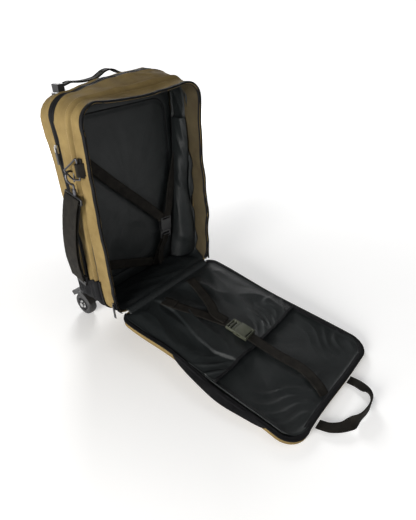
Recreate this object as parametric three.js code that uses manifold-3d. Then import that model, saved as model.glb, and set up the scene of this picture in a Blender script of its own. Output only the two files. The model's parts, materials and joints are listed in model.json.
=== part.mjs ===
// A rolling duffel bag on two fixed wheels, with its front lid unzipped and laid down in front of it.
// Millimetres, +Z up, the front faces -Y and +X is on the right of a person who looks at the front.
// The origin is on the floor, under the middle of the foot bar that the bag stands on.
import * as THREE from "three";
import { mergeVertices } from "three/addons/utils/BufferGeometryUtils.js";
import Module from "manifold-3d";

const wasm = await Module();
wasm.setup();

// Driving dimensions.
const WIDTH = 350;
const DEPTH = 165;
const BODY_BOTTOM = 82;
const BODY_TOP = 602;
const FRONT_Y = -60;
const WALL = 6;
const TOP_RADIUS = 48;
const BOTTOM_RADIUS = 30;
const GAP = 0.3;
const WEBBING = 2.4;
const WHEEL_RADIUS = 33;
const WHEEL_WIDTH = 26;
const LID_LENGTH = 520;
const LID_RIM = 13;
const LID_SKIN = 3.5;
const LID_SLOPE = THREE.MathUtils.degToRad(7.5);

// What follows from them.
const HALF = WIDTH / 2;
const BACK_Y = FRONT_Y + DEPTH;
const LEFT_IN = -HALF + WALL;
const RIGHT_IN = HALF - WALL;
const DIVIDER_Y = 38;
const HINGE_Y = FRONT_Y - 2;
const HINGE_Z = BODY_BOTTOM + 4;

// Colours.
const TAN = 0x9c8350;
const LINING = 0x1d2022;
const BLACK = 0x17181a;
const STEEL = 0x9a9ea3;
const OLIVE = 0x55583f;

const model = new THREE.Group();

function material(color, roughness, metalness = 0) {
  return new THREE.MeshStandardMaterial({ color, roughness, metalness });
}
const fabric = material(TAN, 0.9);
const lining = material(LINING, 0.75);
const webbing = material(BLACK, 0.8);
const plastic = material(BLACK, 0.45);
const steel = material(STEEL, 0.3, 1);
const rubber = material(0x202224, 0.6);
const oliveplastic = material(OLIVE, 0.5);

function add(name, geometry, mat, parent = model) {
  const mesh = new THREE.Mesh(geometry, mat);
  mesh.name = name;
  parent.add(mesh);
  return mesh;
}

// Geometry helpers. Each takes low and high values along the axes.
function box(x0, x1, y0, y1, z0, z1) {
  return new THREE.BoxGeometry(x1 - x0, y1 - y0, z1 - z0).translate((x0 + x1) / 2, (y0 + y1) / 2, (z0 + z1) / 2);
}

function extrude(shape, depth, segments = 5) {
  return new THREE.ExtrudeGeometry(shape, { depth, bevelEnabled: false, curveSegments: segments });
}

// An outline in X and Z, pushed from y0 to y1.
function alongY(shape, y0, y1, segments) {
  return extrude(shape, y1 - y0, segments)
    .rotateX(Math.PI / 2)
    .translate(0, y1, 0);
}

// An outline in Y and Z, pushed from x0 to x1.
function alongX(shape, x0, x1, segments) {
  const turn = new THREE.Matrix4().makeBasis(
    new THREE.Vector3(0, 1, 0),
    new THREE.Vector3(0, 0, 1),
    new THREE.Vector3(1, 0, 0),
  );
  return extrude(shape, x1 - x0, segments)
    .applyMatrix4(turn)
    .translate(x0, 0, 0);
}

// An outline in X and Y, pushed from z0 to z1.
function alongZ(shape, z0, z1, segments) {
  return extrude(shape, z1 - z0, segments).translate(0, 0, z0);
}

// A rounded rectangle; the two low corners and the two high corners have their own radius.
function roundedRect(x0, x1, z0, z1, low, high = low) {
  const shape = new THREE.Shape();
  shape.moveTo(x0 + low, z0);
  shape.lineTo(x1 - low, z0);
  shape.absarc(x1 - low, z0 + low, low, -Math.PI / 2, 0);
  shape.lineTo(x1, z1 - high);
  shape.absarc(x1 - high, z1 - high, high, 0, Math.PI / 2);
  shape.lineTo(x0 + high, z1);
  shape.absarc(x0 + high, z1 - high, high, Math.PI / 2, Math.PI);
  shape.lineTo(x0, z0 + low);
  shape.absarc(x0 + low, z0 + low, low, Math.PI, 1.5 * Math.PI);
  return shape;
}

function polygon(points) {
  return new THREE.Shape(points.map((p) => new THREE.Vector2(p[0], p[1])));
}

function cylinderX(radius, x0, x1, y, z, segments = 24) {
  return new THREE.CylinderGeometry(radius, radius, x1 - x0, segments)
    .rotateZ(Math.PI / 2)
    .translate((x0 + x1) / 2, y, z);
}

// A turned ring about X, from its profile of [radius, x] points.
function turnedX(profile, y, z, segments = 32) {
  const points = profile.map((p) => new THREE.Vector2(p[0], p[1]));
  points.push(points[0].clone());
  return new THREE.LatheGeometry(points, segments).rotateZ(-Math.PI / 2).translate(0, y, z);
}

// manifold-3d joins and cuts.
function solid(geometry) {
  const bare = geometry.clone();
  bare.deleteAttribute("normal");
  bare.deleteAttribute("uv");
  const merged = mergeVertices(bare, 1e-3);
  return new wasm.Manifold(
    new wasm.Mesh({
      numProp: 3,
      vertProperties: merged.attributes.position.array,
      triVerts: new Uint32Array(merged.index.array),
    }),
  );
}

function geometryOf(manifold) {
  const mesh = manifold.getMesh();
  const geometry = new THREE.BufferGeometry();
  geometry.setAttribute("position", new THREE.BufferAttribute(mesh.vertProperties, 3));
  geometry.setIndex(new THREE.BufferAttribute(mesh.triVerts, 1));
  return geometry;
}

function joined(...geometries) {
  return geometryOf(geometries.map(solid).reduce((a, b) => a.add(b)));
}

function cut(geometry, ...tools) {
  return geometryOf(tools.map(solid).reduce((a, b) => a.subtract(b), solid(geometry)));
}

// A curved band: points down its middle, smoothed, with half its thickness to each side.
function ribbon(points, thickness, steps) {
  const curve = new THREE.SplineCurve(points.map((p) => new THREE.Vector2(p[0], p[1])));
  const near = [];
  const far = [];
  for (let i = 0; i <= steps; i++) {
    const at = curve.getPointAt(i / steps);
    const along = curve.getTangentAt(i / steps);
    const side = new THREE.Vector2(-along.y, along.x).multiplyScalar(thickness / 2);
    near.push(at.clone().add(side));
    far.unshift(at.clone().sub(side));
  }
  return new THREE.Shape([...near, ...far]);
}

// A flat strap: the outline of a straight band between two end points.
const STRAP_WIDTH = 27;
function strapOutline(x0, z0, x1, z1, width = STRAP_WIDTH) {
  const length = Math.hypot(x1 - x0, z1 - z0);
  const nx = (-(z1 - z0) / length) * (width / 2);
  const nz = ((x1 - x0) / length) * (width / 2);
  return polygon([
    [x0 - nx, z0 - nz],
    [x1 - nx, z1 - nz],
    [x1 + nx, z1 + nz],
    [x0 + nx, z0 + nz],
  ]);
}

// The sewn body: two side panels, a top and a bottom gusset, and the back panel.
function bodyShell() {
  const sideLow = BODY_BOTTOM + BOTTOM_RADIUS + GAP;
  const sideHigh = BODY_TOP - TOP_RADIUS - GAP;
  const shellBack = BACK_Y - WALL - GAP;
  add("left_side_panel", box(-HALF, LEFT_IN, FRONT_Y, shellBack, sideLow, sideHigh), fabric);
  add("right_side_panel", box(RIGHT_IN, HALF, FRONT_Y, shellBack, sideLow, sideHigh), fabric);
  add("top_gusset", alongY(gussetOutline(TOP_RADIUS, 1), FRONT_Y, shellBack, 6), fabric);
  add("bottom_gusset", alongY(gussetOutline(BOTTOM_RADIUS, -1), FRONT_Y, shellBack, 5), fabric);
  const back = roundedRect(-HALF, HALF, BODY_BOTTOM, BODY_TOP, BOTTOM_RADIUS, TOP_RADIUS);
  add("back_panel", alongY(back, BACK_Y - WALL, BACK_Y, 5), fabric);
}

// A bridge with rounded corners, over the top when up is 1 and under the bottom when up is -1.
function gussetOutline(radius, up) {
  const edge = up > 0 ? BODY_TOP : BODY_BOTTOM;
  const springZ = edge - up * radius;
  const cornerX = HALF - radius;
  const inner = radius - WALL;
  const shape = new THREE.Shape();
  shape.moveTo(HALF, springZ);
  shape.absarc(cornerX, springZ, radius, 0, (up * Math.PI) / 2, up < 0);
  shape.lineTo(-cornerX, edge);
  shape.absarc(-cornerX, springZ, radius, (up * Math.PI) / 2, up * Math.PI, up < 0);
  shape.lineTo(LEFT_IN, springZ);
  shape.absarc(-cornerX, springZ, inner, up * Math.PI, (up * Math.PI) / 2, up > 0);
  shape.lineTo(cornerX, edge - up * WALL);
  shape.absarc(cornerX, springZ, inner, (up * Math.PI) / 2, 0, up > 0);
  return shape;
}

// Inside: the padded divider, a webbing band sewn across it and a pocket on the right wall.
function interior() {
  const low = BODY_BOTTOM + WALL + 1;
  const high = BODY_TOP - WALL - 1;
  const pad = roundedRect(LEFT_IN + 1, RIGHT_IN - 1, low, high, BOTTOM_RADIUS - WALL, TOP_RADIUS - WALL);
  add("padded_divider", alongY(pad, DIVIDER_Y, DIVIDER_Y + 8, 4), lining);
  const band = strapOutline(-150, 185, 34, 110);
  add("divider_webbing_band", alongY(band, DIVIDER_Y - WEBBING - GAP, DIVIDER_Y - GAP), webbing);
  add("side_pocket", box(RIGHT_IN - 12, RIGHT_IN - 0.5, FRONT_Y + 24, DIVIDER_Y - 14, 120, 360), lining);
}

// The three-legged packing strap in front of the divider, and its side-release buckle.
const BUCKLE_X = 86;
const BUCKLE_Z = 199;
function packingStrap() {
  const y1 = DIVIDER_Y - WEBBING - 2 * GAP;
  const y0 = y1 - WEBBING;
  const left = strapOutline(-157, 488, BUCKLE_X - 12, BUCKLE_Z + 42);
  const right = strapOutline(154, 394, BUCKLE_X + 12, BUCKLE_Z + 42);
  const lower = strapOutline(46, 101, BUCKLE_X - 6, BUCKLE_Z - 22);
  add("strap_upper_left", alongY(left, y0, y1), webbing);
  add("strap_upper_right", alongY(right, y0 - WEBBING - GAP, y0 - GAP), webbing);
  add("strap_lower", alongY(lower, y0, y1), webbing);
  buckle("strap_buckle", model, BUCKLE_X, y0 - WEBBING - 5 - 2 * GAP, BUCKLE_Z, 0, plastic, plastic);
}

// A side-release buckle in a plane of constant Y, turned about X. The socket is above, the latch below.
const BUCKLE_HALF = 19;
function buckle(name, parent, x, y, z, turn, socketMaterial, latchMaterial) {
  const group = new THREE.Group();
  group.position.set(x, y, z);
  group.rotation.x = turn;
  parent.add(group);
  const slotHalf = BUCKLE_HALF - 4;
  const socketCase = box(-BUCKLE_HALF, BUCKLE_HALF, -5, 5, 0, 39);
  const cavity = box(-slotHalf, slotHalf, -3, 3, -1, 29);
  const windows = box(-BUCKLE_HALF - 1, BUCKLE_HALF + 1, -2.6, 2.6, 9, 21);
  const slot = box(-slotHalf, slotHalf, -6, 6, 33, 36.5);
  add(`${name}_socket`, cut(socketCase, cavity, windows, slot), socketMaterial, group);
  const base = box(-BUCKLE_HALF + 0.5, BUCKLE_HALF - 0.5, -4, 4, -25, -0.6);
  const prongs = [-12, 12].map((px) => box(px - 2.4, px + 2.4, -2.2, 2.2, -1, 20));
  const tongue = box(-3, 3, -2, 2, -1, 23);
  const slots = [-22, -13].map((sz) => box(-slotHalf, slotHalf, -5, 5, sz, sz + 4));
  add(`${name}_latch`, cut(joined(base, ...prongs, tongue), ...slots), latchMaterial, group);
}

// Outside trim on the shell.
function trim() {
  const patch = polygon([
    [-8, 93],
    [96, 93],
    [104, 101],
    [104, 145],
    [60, 153],
    [-6, 175],
  ]);
  add("corner_guard_left", alongX(patch, -HALF - 2 - GAP, -HALF - GAP), webbing);
  add("corner_guard_right", alongX(patch, HALF + GAP, HALF + 2 + GAP), webbing);
  const zipper = gussetBand(1.4, BODY_BOTTOM + 96);
  add("rear_zipper_chain", alongY(zipper, 41, 55, 6), webbing);
  const edge = gussetBand(1.2, BODY_BOTTOM + BOTTOM_RADIUS + 2);
  add("main_zipper_chain", alongY(edge, FRONT_Y + 1, FRONT_Y + 10, 6), webbing);
}

// A thin arch that follows the outside of the side panels and the top gusset, down to endZ.
function gussetBand(thickness, endZ) {
  const springZ = BODY_TOP - TOP_RADIUS;
  const cornerX = HALF - TOP_RADIUS;
  const inner = TOP_RADIUS + GAP;
  const outer = inner + thickness;
  const shape = new THREE.Shape();
  shape.moveTo(cornerX + outer, endZ);
  shape.lineTo(cornerX + outer, springZ);
  shape.absarc(cornerX, springZ, outer, 0, Math.PI / 2);
  shape.lineTo(-cornerX, springZ + outer);
  shape.absarc(-cornerX, springZ, outer, Math.PI / 2, Math.PI);
  shape.lineTo(-cornerX - outer, endZ);
  shape.lineTo(-cornerX - inner, endZ);
  shape.lineTo(-cornerX - inner, springZ);
  shape.absarc(-cornerX, springZ, inner, Math.PI, Math.PI / 2, true);
  shape.lineTo(cornerX, springZ + inner);
  shape.absarc(cornerX, springZ, inner, Math.PI / 2, 0, true);
  shape.lineTo(cornerX + inner, endZ);
  return shape;
}

// A zipper slider on a side wall with its pull tab hanging. side is -1 on the left and 1 on the right.
function zipper(name, side, y, z) {
  const face = HALF + 2;
  const x = (a, b) => (side < 0 ? [-face - b, -face - a] : [face + a, face + b]);
  const [b0, b1] = x(0, 3.2);
  const [a0, a1] = x(3, 6.4);
  const [t0, t1] = x(4.1, 5.6);
  const arch = cut(box(a0, a1, y - 2, y + 2, z - 6, z + 6), box(t0 - 0.6, t1 + 0.6, y - 3, y + 3, z - 3.4, z + 3.4));
  add(`${name}_slider`, joined(box(b0, b1, y - 4.6, y + 4.6, z - 9, z + 9), arch), steel);
  const tab = cut(box(t0, t1, y - 3.6, y + 3.6, z - 34, z + 2.4), box(t0 - 1, t1 + 1, y - 2.6, y + 2.6, z - 7, z - 0.2));
  add(`${name}_pull`, tab, plastic);
}

// Wheels: a hood and inner cheek bolted to the base, a bolt as the axle, and a tyre on a hub with two bearings.
const WHEEL_X = 152;
const WHEEL_Y = 124;
function wheels() {
  for (const [side, s] of [
    ["left", -1],
    ["right", 1],
  ]) {
    const at = (a, b) => [WHEEL_X + a, WHEEL_X + b].map((v) => v * s).sort((p, q) => p - q);
    const half = WHEEL_WIDTH / 2;
    const [c0, c1] = at(-half - 7, -half - 2);
    const [h0, h1] = at(-half - 2.5, half + 3);
    const cheekShape = polygon([
      [WHEEL_Y - 30, BODY_BOTTOM - GAP],
      [WHEEL_Y - 12, 20],
      [WHEEL_Y + 12, 20],
      [WHEEL_Y + 34, BODY_BOTTOM - GAP],
    ]);
    const hoodShape = new THREE.Shape();
    const inner = WHEEL_RADIUS + 2.5;
    const outer = BODY_BOTTOM - GAP - WHEEL_RADIUS;
    hoodShape.absarc(WHEEL_Y, WHEEL_RADIUS, outer, Math.PI * 0.22, Math.PI * 0.86);
    hoodShape.absarc(WHEEL_Y, WHEEL_RADIUS, inner, Math.PI * 0.86, Math.PI * 0.22, true);
    const housing = joined(alongX(cheekShape, c0, c1), alongX(hoodShape, h0, h1, 10));
    const axleHole = cylinderX(4 + GAP, c0 - 1, c1 + 1, WHEEL_Y, WHEEL_RADIUS, 16);
    add(`wheel_housing_${side}`, cut(housing, axleHole), plastic);
    const [y, z] = [WHEEL_Y, WHEEL_RADIUS];
    const centre = (points) => points.map(([r, x]) => [r, x + WHEEL_X * s]);
    const tyre = centre([
      [22.3, -half],
      [28, -half],
      [WHEEL_RADIUS - 1.5, -half + 4],
      [WHEEL_RADIUS, -half + 9],
      [WHEEL_RADIUS, half - 9],
      [WHEEL_RADIUS - 1.5, half - 4],
      [28, half],
      [22.3, half],
    ]);
    add(`tyre_${side}`, turnedX(tyre, y, z), rubber);
    const hub = centre([
      [11.3, -half + 1],
      [14, -half + 1],
      [14, -3],
      [19, -3],
      [19, -half + 1],
      [22, -half + 1],
      [22, half - 1],
      [19, half - 1],
      [19, 3],
      [14, 3],
      [14, half - 1],
      [11.3, half - 1],
    ]);
    add(`hub_${side}`, turnedX(hub, y, z, 24), plastic);
    const bearing = centre([
      [4.3, -half + 1.5],
      [11, -half + 1.5],
      [11, half - 1.5],
      [4.3, half - 1.5],
    ]);
    add(`bearing_${side}`, turnedX(bearing, y, z, 20), steel);
    const [b0, b1] = at(-half - 10, half + 0.6);
    const [k0, k1] = at(half + 0.5, half + 4);
    const [n0, n1] = at(-half - 13, -half - 7.3);
    add(
      `axle_bolt_${side}`,
      joined(cylinderX(4, b0, b1, y, z, 16), cylinderX(7, k0, k1, y, z, 16), cylinderX(6.6, n0, n1, y, z, 6)),
      steel,
    );
  }
  const foot = roundedRect(-90, 90, -14, 14, 12);
  add("foot_bar", alongZ(foot, 0, BODY_BOTTOM - GAP, 3), plastic);
}

// The pull-handle frame on the back: fixed tubes in a bezel and a base bracket, two sliding stages and a grip.
const TUBE_X = 98;
const TUBE_Y = BACK_Y + 16;
const BEZEL_TOP = BODY_TOP - 34;
function tube(x, halfX, halfY, wall, z0, z1) {
  const shape = roundedRect(x - halfX, x + halfX, TUBE_Y - halfY, TUBE_Y + halfY, 3);
  if (wall) {
    const bore = roundedRect(x - halfX + wall, x + halfX - wall, TUBE_Y - halfY + wall, TUBE_Y + halfY - wall, 2);
    shape.holes.push(new THREE.Path(bore.getPoints(2)));
  }
  return alongZ(shape, z0, z1, 2);
}

function trolley() {
  const plateLow = BODY_BOTTOM + 8;
  const bezelLow = BEZEL_TOP - 20;
  const bezelHigh = BEZEL_TOP;
  const plate = box(-120, 120, BACK_Y + GAP, BACK_Y + 3, plateLow, bezelLow + 1);
  const block = alongZ(roundedRect(-118, 118, BACK_Y + GAP, BACK_Y + 31, 8), bezelLow, bezelHigh, 3);
  const holes = [-TUBE_X, TUBE_X].map((x) => tube(x, 13.3, 9.3, 0, bezelLow - 1, bezelHigh + 1));
  add("trolley_back_frame", cut(joined(plate, block), ...holes), plastic);
  const base = alongZ(roundedRect(-118, 118, BACK_Y + 3.6, BACK_Y + 29, 8), plateLow, plateLow + 34, 3);
  const sockets = [-TUBE_X, TUBE_X].map((x) => tube(x, 13.3, 9.3, 0, plateLow + 4, plateLow + 40));
  add("trolley_base_bracket", cut(base, ...sockets), plastic);
  for (const [side, s] of [
    ["left", -1],
    ["right", 1],
  ]) {
    add(`outer_tube_${side}`, tube(TUBE_X * s, 13, 9, 1.4, plateLow + 5, bezelHigh - 1), plastic);
    add(`inner_tube_${side}`, tube(TUBE_X * s, 11.2, 7.2, 1.2, plateLow + 12, bezelHigh + 5.6), steel);
  }
  const gripLow = bezelHigh + 6;
  const grip = alongZ(roundedRect(-116, 116, TUBE_Y - 12, TUBE_Y + 12, 8), gripLow, gripLow + 22, 3);
  const well = box(-16, 16, TUBE_Y - 6.5, TUBE_Y + 6.5, gripLow + 10, gripLow + 23);
  const underside = box(-82, 82, TUBE_Y - 13, TUBE_Y + 13, gripLow - 1, gripLow + 6);
  add("trolley_grip", cut(grip, well, underside), plastic);
  add("release_button", box(-15.4, 15.4, TUBE_Y - 6, TUBE_Y + 6, gripLow + 15, gripLow + 24), plastic);
}

// The webbing carry handle on top, on pins in two square end caps.
const HANDLE_Y = 86;
const HANDLE_Z = BODY_TOP + 13;
function topHandle() {
  const [x0, x1] = [-113, 100];
  const low = BODY_TOP + GAP;
  const caps = [x0 - 16, x1].map((x) => box(x, x + 16, HANDLE_Y - 12, HANDLE_Y + 12, low, low + 17.4));
  const plate = box(x0 - 16, x1 + 16, HANDLE_Y - 12, HANDLE_Y + 12, low, low + 1.6);
  const bore = cylinderX(3 + GAP, x0 - 9, x1 + 9, HANDLE_Y, HANDLE_Z, 16);
  add("handle_base", cut(joined(plate, ...caps), bore), plastic);
  const middle = [
    [x0 + 1.2, 0],
    [x0 + 18, 3],
    [-62, 5],
    [-26, 6],
    [-8, 10],
    [3, 15],
    [16, 17],
    [30, 14],
    [50, 6],
    [76, 1],
    [x1 - 1.4, 0],
  ];
  const band = alongY(ribbon(middle, 3, 16), HANDLE_Y - 10, HANDLE_Y + 10).translate(0, 0, HANDLE_Z);
  const pins = [
    [x0 - 8, x0 + 3],
    [x1 - 3, x1 + 8],
  ].map(([a, b]) => cylinderX(3, a, b, HANDLE_Y, HANDLE_Z, 12));
  add("carry_handle", joined(band, ...pins), webbing);
}

// The side strap: a triangle ring in a sewn loop, a snap hook on it, and a wide strap down to a low anchor.
const RING_X = -HALF - 14;
const RING_Y = -36;
const STRAP_TOP = new THREE.Vector3(RING_X - 2, 2, 397);
const STRAP_LEAN = THREE.MathUtils.degToRad(13.8);
function sideStrap() {
  const sewn = new THREE.Shape();
  const face = -HALF - 2;
  sewn.moveTo(face, RING_Y + 5.5);
  sewn.lineTo(RING_X, RING_Y + 5.5);
  sewn.absarc(RING_X, RING_Y, 5.5, Math.PI / 2, 1.5 * Math.PI);
  sewn.lineTo(face, RING_Y - 5.5);
  const bore = new THREE.Path();
  bore.absarc(RING_X, RING_Y, 3, 0, 2 * Math.PI);
  sewn.holes.push(new THREE.Path(bore.getPoints(6)));
  const patch = box(face, -HALF - GAP, RING_Y - 9, RING_Y + 11, 442, 498);
  add("ring_loop", joined(alongZ(sewn, 452, 481.5, 6), patch), webbing);
  const ring = [
    [RING_X, RING_Y, 447],
    [RING_X, RING_Y, 491],
    [RING_X - 6, 6, 461],
    [RING_X - 5, -18, 446],
  ];
  add("triangle_ring", rod(ring, 2, true), steel);
  const swivel = rod(
    [
      [RING_X - 4, -11, 415],
      [RING_X - 4, -11, 432],
      [RING_X - 13, -10, 437],
      [RING_X - 15, -9, 451],
      [RING_X - 9, -8, 461],
      [RING_X + 1.5, -8, 459.5],
    ],
    2,
    false,
  );
  add("snap_hook", swivel, steel);
  const gate = rod(
    [
      [RING_X + 5.5, -8, 454],
      [RING_X + 0.8, -10, 436],
    ],
    1.6,
    false,
  );
  add("hook_gate", gate, steel);
  const top = new THREE.Group();
  top.position.copy(STRAP_TOP);
  top.rotation.x = STRAP_LEAN;
  model.add(top);
  const slotted = cut(box(-3, 3, -31, 31, -8, 12), box(-4, 4, -26, 26, -3.5, 3.5));
  add("strap_loop", slotted, plastic, top);
  const bow = [
    [-5, 10],
    [-6.5, -6],
    [-11, -28],
    [-16, -72],
    [-18, -122],
    [-15, -170],
    [-8, -206],
    [-1, -236],
  ];
  add("side_strap", alongY(ribbon(bow, 3, 18), -25, 25), webbing, top);
  const anchor = joined(box(-1, 6.4, -27, 4, -250, -236.6), box(3, 6.4, -27, 4, -246, -224));
  add("strap_anchor", anchor, plastic, top);
}

// A round rod through points, as balls joined by cylinders.
function rod(points, radius, closed) {
  const vectors = points.map((p) => new THREE.Vector3(...p));
  if (closed) vectors.push(vectors[0].clone());
  const parts = [];
  for (let i = 0; i < vectors.length - 1; i++) {
    const along = vectors[i + 1].clone().sub(vectors[i]);
    const turn = new THREE.Quaternion().setFromUnitVectors(new THREE.Vector3(0, 1, 0), along.clone().normalize());
    const middle = vectors[i].clone().add(vectors[i + 1]).multiplyScalar(0.5);
    parts.push(
      new THREE.CylinderGeometry(radius, radius, along.length(), 8)
        .applyQuaternion(turn)
        .translate(middle.x, middle.y, middle.z),
    );
    const end = vectors[i + 1];
    parts.push(new THREE.IcosahedronGeometry(radius * 1.04, 1).translate(end.x, end.y, end.z));
  }
  return joined(...parts);
}

// The lid, in its own frame: the hinge line is at its origin, the lid runs along -Y and its lining faces +Z.
function lid() {
  const group = new THREE.Group();
  group.position.set(0, HINGE_Y, HINGE_Z);
  group.rotation.x = LID_SLOPE;
  model.add(group);
  const plan = (inset) => {
    const radii = [TOP_RADIUS - inset, BOTTOM_RADIUS - inset];
    return roundedRect(-HALF + inset, HALF - inset, -LID_LENGTH + inset, -1 - inset, ...radii);
  };
  add("lid_panel", alongZ(plan(0), -LID_RIM - LID_SKIN, -LID_RIM - GAP, 6), fabric, group);
  const rim = plan(0);
  rim.holes.push(new THREE.Path(plan(5).getPoints(6).reverse()));
  add("lid_rim", alongZ(rim, -LID_RIM, 0, 6), fabric, group);
  add("lid_lining", alongZ(plan(5.6), -LID_RIM + GAP, -LID_RIM + 4, 5), lining, group);
  add("lid_pocket", box(-160, 160, -306, -18, -LID_RIM + 4.4, -LID_RIM + 8), lining, group);
  lidStrap(group);
  lidHandle(group);
}

// The lid's packing strap runs down its middle over the pocket, with an olive buckle and a loose tail.
const LID_BUCKLE_Y = -250;
function lidStrap(group) {
  const z0 = -LID_RIM + 9;
  const z1 = z0 + WEBBING;
  const near = alongZ(strapOutline(-58, -66, -16, LID_BUCKLE_Y + 8), z0, z1);
  const tail = alongZ(strapOutline(-8, LID_BUCKLE_Y + 34, 46, -40), z1 - 0.2, z1 + WEBBING);
  add("lid_strap_near", joined(near, tail), webbing, group);
  const far = strapOutline(-11, LID_BUCKLE_Y - 30, -34, -LID_LENGTH + 10);
  add("lid_strap_far", alongZ(far, z0, z1), webbing, group);
  buckle("lid_buckle", group, -12, LID_BUCKLE_Y, z1 + 6, Math.PI / 2, oliveplastic, oliveplastic);
}

// The grab handle at the end of the lid, a flat loop of webbing that lies almost level.
const LID_HANDLE_REACH = 72;
function lidHandle(group) {
  const pivot = new THREE.Group();
  pivot.position.set(0, -LID_LENGTH - 2, -LID_RIM + 3);
  pivot.rotation.x = THREE.MathUtils.degToRad(2) - LID_SLOPE;
  group.add(pivot);
  const loop = polygon([
    [-114, 0],
    [-94, 10 - LID_HANDLE_REACH],
    [-80, -LID_HANDLE_REACH],
    [26, -LID_HANDLE_REACH],
    [40, 10 - LID_HANDLE_REACH],
    [59, 0],
    [33, 0],
    [18, STRAP_WIDTH - LID_HANDLE_REACH],
    [-72, STRAP_WIDTH - LID_HANDLE_REACH],
    [-88, 0],
  ]);
  add("lid_handle", alongZ(loop, -WEBBING / 2, WEBBING / 2), webbing, pivot);
}

bodyShell();
interior();
packingStrap();
trim();
zipper("main_zipper_left", -1, FRONT_Y + 6, 115);
zipper("main_zipper_right", 1, FRONT_Y + 6, 115);
zipper("rear_zipper", -1, 48, 496);
wheels();
trolley();
topHandle();
sideStrap();
lid();

export default model;
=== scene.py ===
"""The rolling duffel bag's looks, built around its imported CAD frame. Metres, +Z up, -Y front, +X right."""
import json
import math

import bmesh
import bpy
from mathutils import Matrix, Vector, noise


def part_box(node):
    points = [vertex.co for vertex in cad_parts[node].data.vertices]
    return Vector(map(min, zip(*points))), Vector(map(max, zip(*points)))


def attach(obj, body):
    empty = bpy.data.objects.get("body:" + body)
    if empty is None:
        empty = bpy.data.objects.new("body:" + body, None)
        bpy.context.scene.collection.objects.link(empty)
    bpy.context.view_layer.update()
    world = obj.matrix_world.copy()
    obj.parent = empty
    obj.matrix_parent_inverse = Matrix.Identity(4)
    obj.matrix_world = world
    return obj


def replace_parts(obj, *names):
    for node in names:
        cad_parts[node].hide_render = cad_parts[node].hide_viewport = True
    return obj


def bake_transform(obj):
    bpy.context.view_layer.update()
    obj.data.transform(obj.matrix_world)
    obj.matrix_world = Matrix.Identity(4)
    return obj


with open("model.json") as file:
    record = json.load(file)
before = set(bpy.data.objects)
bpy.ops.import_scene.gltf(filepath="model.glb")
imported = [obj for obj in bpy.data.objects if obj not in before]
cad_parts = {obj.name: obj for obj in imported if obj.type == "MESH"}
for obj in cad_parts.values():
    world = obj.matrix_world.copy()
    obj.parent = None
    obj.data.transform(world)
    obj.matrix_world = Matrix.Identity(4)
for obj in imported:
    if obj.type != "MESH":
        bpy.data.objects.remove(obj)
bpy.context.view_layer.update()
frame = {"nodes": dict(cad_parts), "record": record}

# Driving dimensions, the same as the CAD's.
HALF = 0.175
FRONT = -0.060
BACK = 0.105
LOW = 0.082
TOP = 0.602
TOP_R = 0.048
LOW_R = 0.030
DIVIDER = 0.038
HINGE = Vector((0, -0.062, 0.086))
SLOPE = math.radians(7.5)
LID_LONG = 0.520
WHEEL = Vector((0.152, 0.124, 0.033))

# The camera: where it stands, its turn, tilt and roll, its lens on a 36 mm sensor and its shift.
CAMERA_PLACE = Vector((-0.6535, -0.7983, 0.7509))
CAMERA_YAW = math.radians(-49.59)
CAMERA_PITCH = math.radians(30.11)
CAMERA_ROLL = math.radians(-2.43)
SENSOR = 36
LENS = 29.1876923
SHIFT_X = -0.0157692308
SHIFT_Y = -0.0167307692


# ---------------------------------------------------------------- materials
def new_material(name, color, rough, metal=0.0, shine=0.5):
    mat = bpy.data.materials.new(name)
    mat.use_nodes = True
    shader = mat.node_tree.nodes["Principled BSDF"]
    shader.inputs["Base Color"].default_value = (*color, 1)
    shader.inputs["Roughness"].default_value = rough
    shader.inputs["Metallic"].default_value = metal
    shader.inputs["Specular IOR Level"].default_value = shine
    return mat, mat.node_tree, shader


def node(tree, kind, **values):
    made = tree.nodes.new(kind)
    for key, value in values.items():
        if key in made.inputs:
            made.inputs[key].default_value = value
        else:
            setattr(made, key, value)
    return made


def coordinates(tree, source, scale):
    place = node(tree, "ShaderNodeTexCoord")
    mapping = node(tree, "ShaderNodeMapping")
    mapping.inputs["Scale"].default_value = scale
    tree.links.new(place.outputs[source], mapping.inputs["Vector"])
    return mapping.outputs["Vector"]


def vary(tree, shader, vector, dark, light, scale):
    """Colour that drifts between two shades over the surface."""
    cloud = node(tree, "ShaderNodeTexNoise", Scale=scale, Detail=6.0, Roughness=0.6)
    ramp = node(tree, "ShaderNodeValToRGB")
    ramp.color_ramp.elements[0].position = 0.35
    ramp.color_ramp.elements[1].position = 0.65
    ramp.color_ramp.elements[0].color = (*dark, 1)
    ramp.color_ramp.elements[1].color = (*light, 1)
    tree.links.new(vector, cloud.inputs["Vector"])
    tree.links.new(cloud.outputs["Fac"], ramp.inputs["Fac"])
    tree.links.new(ramp.outputs["Color"], shader.inputs["Base Color"])


def waves(tree, vector, direction, scale, distortion=0.0):
    wave = node(tree, "ShaderNodeTexWave", wave_type="BANDS", bands_direction=direction)
    wave.inputs["Scale"].default_value = scale
    wave.inputs["Distortion"].default_value = distortion
    tree.links.new(vector, wave.inputs["Vector"])
    return wave.outputs["Fac"]


def combine(tree, operation, a, b):
    math_node = node(tree, "ShaderNodeMath", operation=operation)
    for socket, value in zip(math_node.inputs, (a, b)):
        if isinstance(value, float):
            socket.default_value = value
        else:
            tree.links.new(value, socket)
    return math_node.outputs[0]


def bump(tree, shader, height, strength, distance):
    made = node(tree, "ShaderNodeBump", Strength=strength, Distance=distance)
    tree.links.new(height, made.inputs["Height"])
    tree.links.new(made.outputs["Normal"], shader.inputs["Normal"])


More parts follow.
